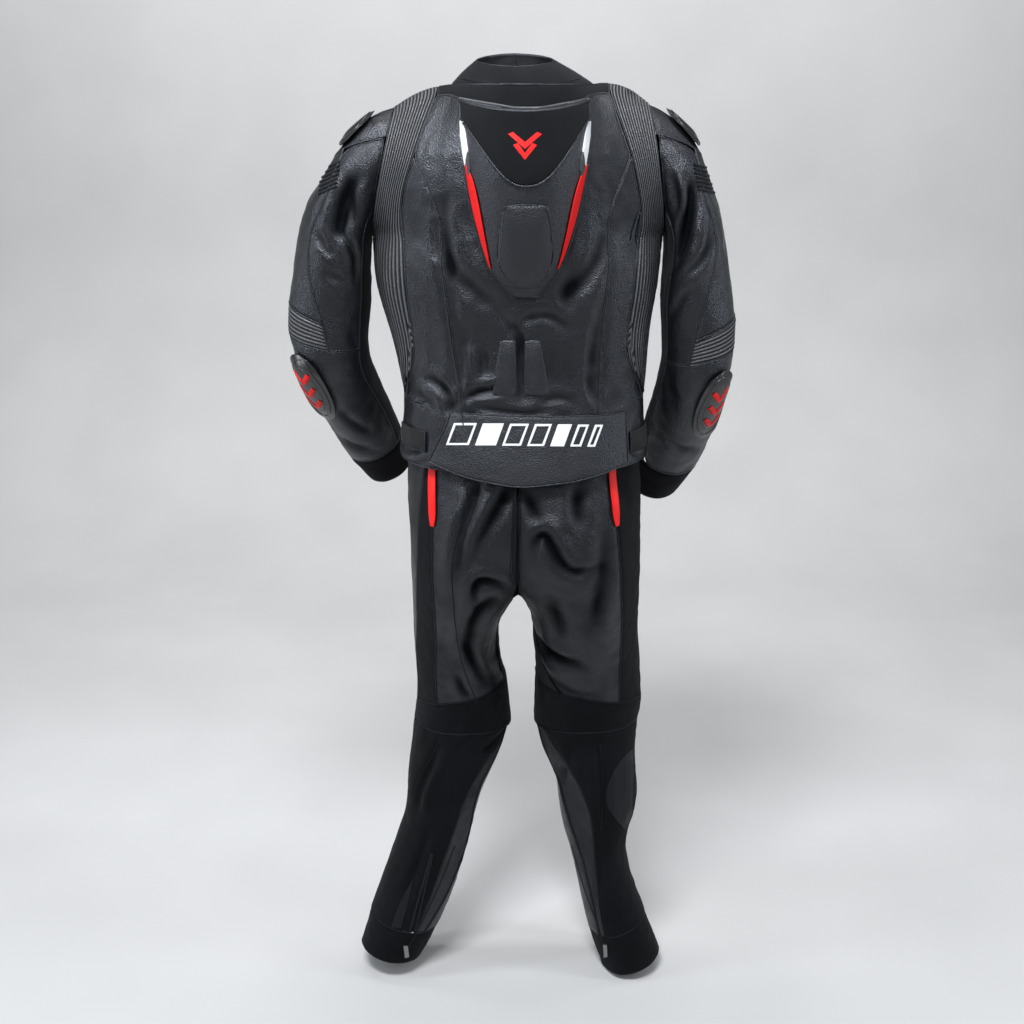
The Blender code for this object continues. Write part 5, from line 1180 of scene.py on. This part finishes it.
# %% [markdown]
# ## The sliders' trim
#
# A slider is a hard cap that is held in a moulded rim, so each gets a bead round it, and the elbow's a
# second, finer one. The sliders lie at an angle on the arms, where a flat drawing of the back would slide
# off, so their trim is placed in each slider's own frame: its long way, its cross way and outwards.

# %% A slider's own frame
def own_frame(name, outward):
    """Middle, long way, cross way and outward way of a slider, and its reach along the first two."""
    points = skin[name][0]
    middle = points.mean(0)
    _, _, axes = np.linalg.svd(points - middle, full_matrices=False)
    out = axes[2] if axes[2] @ np.array(outward) > 0 else -axes[2]
    long_way = axes[0] if axes[0][2] < 0 else -axes[0]
    cross = np.cross(out, long_way)
    reach = [np.abs((points - middle) @ way).max() for way in (long_way, cross)]
    return middle, long_way, cross, out, reach


def on_slider(tree, grip, u, v):
    """The place and facing at shares u and v of a slider's reach."""
    middle, long_way, cross, out, reach = grip
    start = middle + long_way * u * reach[0] + cross * v * reach[1] + out * 0.05
    place, normal, _, _ = tree.ray_cast(Vector(start), Vector(-out))
    if place is None:
        place, normal, _, _ = tree.find_nearest(Vector(start - out * 0.045))
    return place, normal


def bead(tree, grip, size, radius):
    """A ring at this share of a slider's reach."""
    ring = [on_slider(tree, grip, size * math.cos(t), size * math.sin(t))
            for t in np.linspace(0, 2 * math.pi, 48, endpoint=False)]
    line_tube(slider_rims, *split(ring), radius, closed=True)


print("slider frames ready")

# %% Beads and chevrons
chevrons, slider_rims = Pile(), Pile()
for side, outward in (("L", (-0.6, -1, 0)), ("R", (0.6, -1, 0))):
    name = f"elbow_slider_{side}"
    tree, grip = surface(name), own_frame(name, outward)
    bead(tree, grip, 0.84, 0.0014)
    bead(tree, grip, 0.66, 0.0006)
    for start in (-0.50, -0.12, 0.26):
        line = [on_slider(tree, grip, start + 0.26 * (1 - abs(v) / 0.5), v) for v in np.linspace(-0.5, 0.5, 17)]
        line_tube(chevrons, *split(line), 0.0042, flat=0.3)
    name = f"shoulder_slider_{side}"
    bead(surface(name), own_frame(name, (outward[0], -0.3, 1)), 0.82, 0.0011)
chevrons.piece("slider_chevrons", RED, "red_leather")
slider_rims.piece("slider_rims", SLIDER, "hard_plastic")
print("sliders trimmed")

# %% [markdown]
# ## Sewn lines that no cut edge makes
#
# Some seams cross a panel: the stitched line on the left thigh, the seat's double line, the darts of the
# calves and the collar's seam. They are drawn, dropped on the cloth and sewn as piping with a row of
# stitches beside it. The ribs below the shoulder sliders are short thick tubes of the same kind, and a lens
# and a gore of leather are let into the calves as plates.

# %% Drawn seams
seams, seam_threads = Pile(), Pile()
on_legs = surface(*both("seat", "leg_side", "calf", "calf_leather", "inner_thigh", "knee_band", "leg_front", "ankle"))
on_neck = surface("neck_yoke", "collar_back", "back_centre")
on_arms = surface(*both("sleeve_cap", "sleeve_outer", "sleeve_back", "forearm", "accordion"))


def drawn_seam(tree, corners, radius=0.0010, row=None):
    """Piping of this radius along a drawn line, and a row of stitches `row` metres to one side of it."""
    spots, outs = traced(tree, corners)
    line_tube(seams, spots, outs, radius)
    if row:
        points, along = evenly(spots, STITCH_PITCH, False)
        aside = np.cross(outs[0], along)
        places, out = lie(tree, points + aside * row)
        stitches(seam_threads, places, along, out)


drawn_seam(on_neck, [(462, 79), (476, 81), (500, 84), (527, 85), (556, 83), (580, 79)], 0.0009, 0.003)
drawn_seam(on_legs, [(466, 488), (468, 506), (458, 536), (452, 566), (453, 600), (457, 640), (464, 670), (477, 703)],
           row=0.003)
drawn_seam(on_legs, [(513.5, 490), (512.5, 520), (511, 556), (510, 582)], 0.0008, -0.003)
drawn_seam(on_legs, [(521.5, 490), (520.5, 520), (519, 556), (517, 582)], 0.0008, 0.003)
drawn_seam(on_legs, [(441, 737), (432, 756), (420, 777), (412, 800)], 0.0009, 0.0028)
drawn_seam(on_legs, [(421, 752), (415, 766), (408, 779)], 0.0008)
drawn_seam(on_legs, [(455, 846), (440, 884), (423, 920), (407, 950)], row=0.0028)
drawn_seam(on_legs, [(572, 846), (582, 882), (594, 916), (606, 950)], row=0.0028)
drawn_seam(on_legs, [(600, 744), (602, 772), (603, 800), (601, 830)], 0.0008)
print(seams.count, "piping points, and", seam_threads.count, "stitch points beside them")

# %% Lens, gore and shoulder ribs
plate("calf_lens_R", [(633, 748), (624, 756), (614, 770), (608, 785), (606, 798), (609, 809), (616, 820), (625, 830),
                      (631, 818), (633, 790)], on_legs, 0.0010, LEGS_PAINTED_SHADE)
plate("calf_gore_L", [(414, 877), (408, 903), (401, 928), (391, 927), (400, 902)], on_legs, 0.0008, LEGS_PAINTED_SHADE)
for left, top, slip, lean in ((322, 170, -0.5, -8), (694, 165, 0.6, 4)):
    for i in range(7):
        x, y = left + slip * i, top + 4.0 * i
        rib = traced(on_arms, [(x, y), (x + 9, y + lean * 0.5), (x + 18, y + lean)], 6)
        line_tube(seams, *rib, 0.0022, lift=0.0002)
seat_strip = traced(on_legs, [(517.5, 487), (516.5, 510), (515, 550), (514, 586)])
line_tube(seams, *seat_strip, 0.0042, flat=0.3)
ankle_strip = traced(on_legs, [(402, 931), (411, 933), (421, 933)])
line_tube(seams, *ankle_strip, 0.0024, flat=0.5)
seams.piece("drawn_seams", LEGS_PAINTED_SHADE, "black_leather")
seam_threads.piece("drawn_stitches", THREAD, "black_leather")
print("drawn seams sewn")

# %% [markdown]
# ## Zips
#
# The ankles close with short zips whose sliders hang at the hem, and the main zip shows its teeth. A tooth is
# a small lump of metal that is set to the left and right in turn, so the stitch maker is used again with
# larger grains. The tape's middle is found at each height, and a ray from the front drops the tooth on it.

# %% Ankle zips and zip teeth
SLOTS = {node["node"]: node["material_slot"] for node in frame["record"]["subparts"]}
metal_slot = SLOTS["main_zip_slider"]
TOOTH_PITCH = 0.0026
TOOTH_OFFSET = 0.0011
for side, box in (("L", [(403.5, 945), (407.5, 945), (408.5, 956), (404.5, 957)]),
                  ("R", [(604, 944), (607.5, 944), (608.5, 956), (605, 957)])):
    plate(f"ankle_zip_{side}", box, on_legs, 0.0030, NICKEL, 3.0)
teeth, on_zip, zip_points = Pile(), surface("main_zip"), skin["main_zip"][0]
places, outs = [], []
for i, z in enumerate(np.arange(zip_points[:, 2].min() + 0.01, zip_points[:, 2].max() - 0.01, TOOTH_PITCH)):
    near = zip_points[np.abs(zip_points[:, 2] - z) < 0.01, 0]
    side = TOOTH_OFFSET if i % 2 else -TOOTH_OFFSET
    place, out, _, _ = on_zip.ray_cast(Vector(((near.min() + near.max()) / 2 + side, 1, z)), Vector((0, -1, 0)))
    if place:
        places.append(tuple(place))
        outs.append(tuple(out))
stitches(teeth, np.array(places), np.tile([1.0, 0, 0], (len(places), 1)), np.array(outs), 0.0036, 0.0009, 0.0012)
teeth.piece("main_zip_teeth", NICKEL, metal_slot)
print(len(places), "zip teeth")

# %% [markdown]
# ## The cut of each panel
#
# A panel is cut flat before it is sewn round the body, and its flat size is worked out here, though nothing
# keeps it. The panel's longest reach through the air is a little less than its length along the curve, so
# it gets 4 % more. Its area then gives the width, with 18 % more because its ends are narrower than its middle.

# %% Cloth facts
CURVE_SHARE, NARROW_ENDS = 1.04, 1.18


def reach_of(mesh):
    """The longest reach of a panel, along the main axis of its points."""
    points = points_of(mesh)
    centre = points.mean(0)
    _, _, axes = np.linalg.svd(points - centre, full_matrices=False)
    return np.ptp((points - centre) @ axes.T, axis=0).max()


for obj, name, mesh in sheets:
    area = sum(poly.area for poly in mesh.polygons)
    length = float(reach_of(mesh)) * CURVE_SHARE
    width = max(area / length * NARROW_ENDS, 0.01)
print(len(sheets), "sheets declared")

# %% [markdown]
# ## Floor and light
#
# Dark leather shows its form only in what it reflects, and a light that faces it squarely turns it grey. So
# the key light is a wide one, high between the camera and the suit, and only a weak fill stands behind the
# camera. A tall narrow light at each side draws the edges of the sleeves and legs, and one more lights the
# wall. The floor is one strip that bends up into the wall, so that no corner shows.

# %% Floor
STRIP, FLAT, BEND = 7.5, 5.2, 0.9
HALF_WIDTH, NEAR_EDGE = 4.5, 3.6
GAP_BELOW = 0.004
floor_mesh = bpy.data.meshes.new("floor")
bm = bmesh.new()
bmesh.ops.create_grid(bm, x_segments=2, y_segments=80, size=1)
for v in bm.verts:
    far = STRIP * (v.co.y + 1) / 2
    rise = max(far - FLAT, 0) / BEND
    turn = min(rise, math.pi / 2)
    up = max(rise - turn, 0) * BEND + BEND * (1 - math.cos(turn))
    v.co = (v.co.x * HALF_WIDTH, min(far, FLAT) - NEAR_EDGE + BEND * math.sin(turn), cad_box[0][2] - GAP_BELOW + up)
bm.normal_update()
bm.to_mesh(floor_mesh)
bm.free()
floor_mesh.shade_smooth()
floor = new_object("floor", floor_mesh)
pale, pale_tree, pale_shader = finish("pale_floor", Roughness=0.9)
clouds = pattern(pale_tree, "ShaderNodeTexNoise", Scale=3.0)
pale_tree.links.new(blend_colours(pale_tree, clouds.outputs["Fac"], (0.50, 0.50, 0.50), (0.54, 0.54, 0.54)),
                    pale_shader.inputs["Base Color"])
floor_mesh.materials.append(pale)
print("floor strip", STRIP, "m long, with a bend of", BEND, "m")

# %% Lights
world = bpy.data.worlds.new("world")
bpy.context.scene.world = world
world.use_nodes = True
world.node_tree.nodes["Background"].inputs["Color"].default_value = (0.93, 0.95, 1.0, 1)
world.node_tree.nodes["Background"].inputs["Strength"].default_value = 0.08


def soft_light(name, place, aim, size, power, tint=(1, 1, 1)):
    """A rectangular light at `place` that shines towards `aim`."""
    lamp = bpy.data.objects.new(name, bpy.data.lights.new(name, "AREA"))
    bpy.context.collection.objects.link(lamp)
    lamp.location = place
    lamp.rotation_euler = (Vector(aim) - Vector(place)).to_track_quat("-Z", "Y").to_euler()
    lamp.data.shape = "RECTANGLE"
    lamp.data.size, lamp.data.size_y = size
    lamp.data.energy = power
    lamp.data.color = tint


soft_light("key", (-0.5, -1.45, 1.95), (0, 0, -0.2), (1.1, 0.5), 112, (0.96, 0.98, 1.0))
soft_light("fill", (0.3, -2.8, 1.1), (0, 0, 0.2), (2.2, 1.3), 24, (0.92, 0.96, 1.0))
soft_light("left", (-1.7, -0.3, 0.2), (0, 0, -0.3), (0.3, 2.2), 20, (0.90, 0.95, 1.0))
soft_light("right", (1.7, -0.3, 0.2), (0, 0, -0.3), (0.3, 2.2), 16, (0.90, 0.95, 1.0))
soft_light("wall", (0, 0.9, 2.5), (0, 2.5, 0.2), (3.0, 0.4), 90)
print("lights placed")
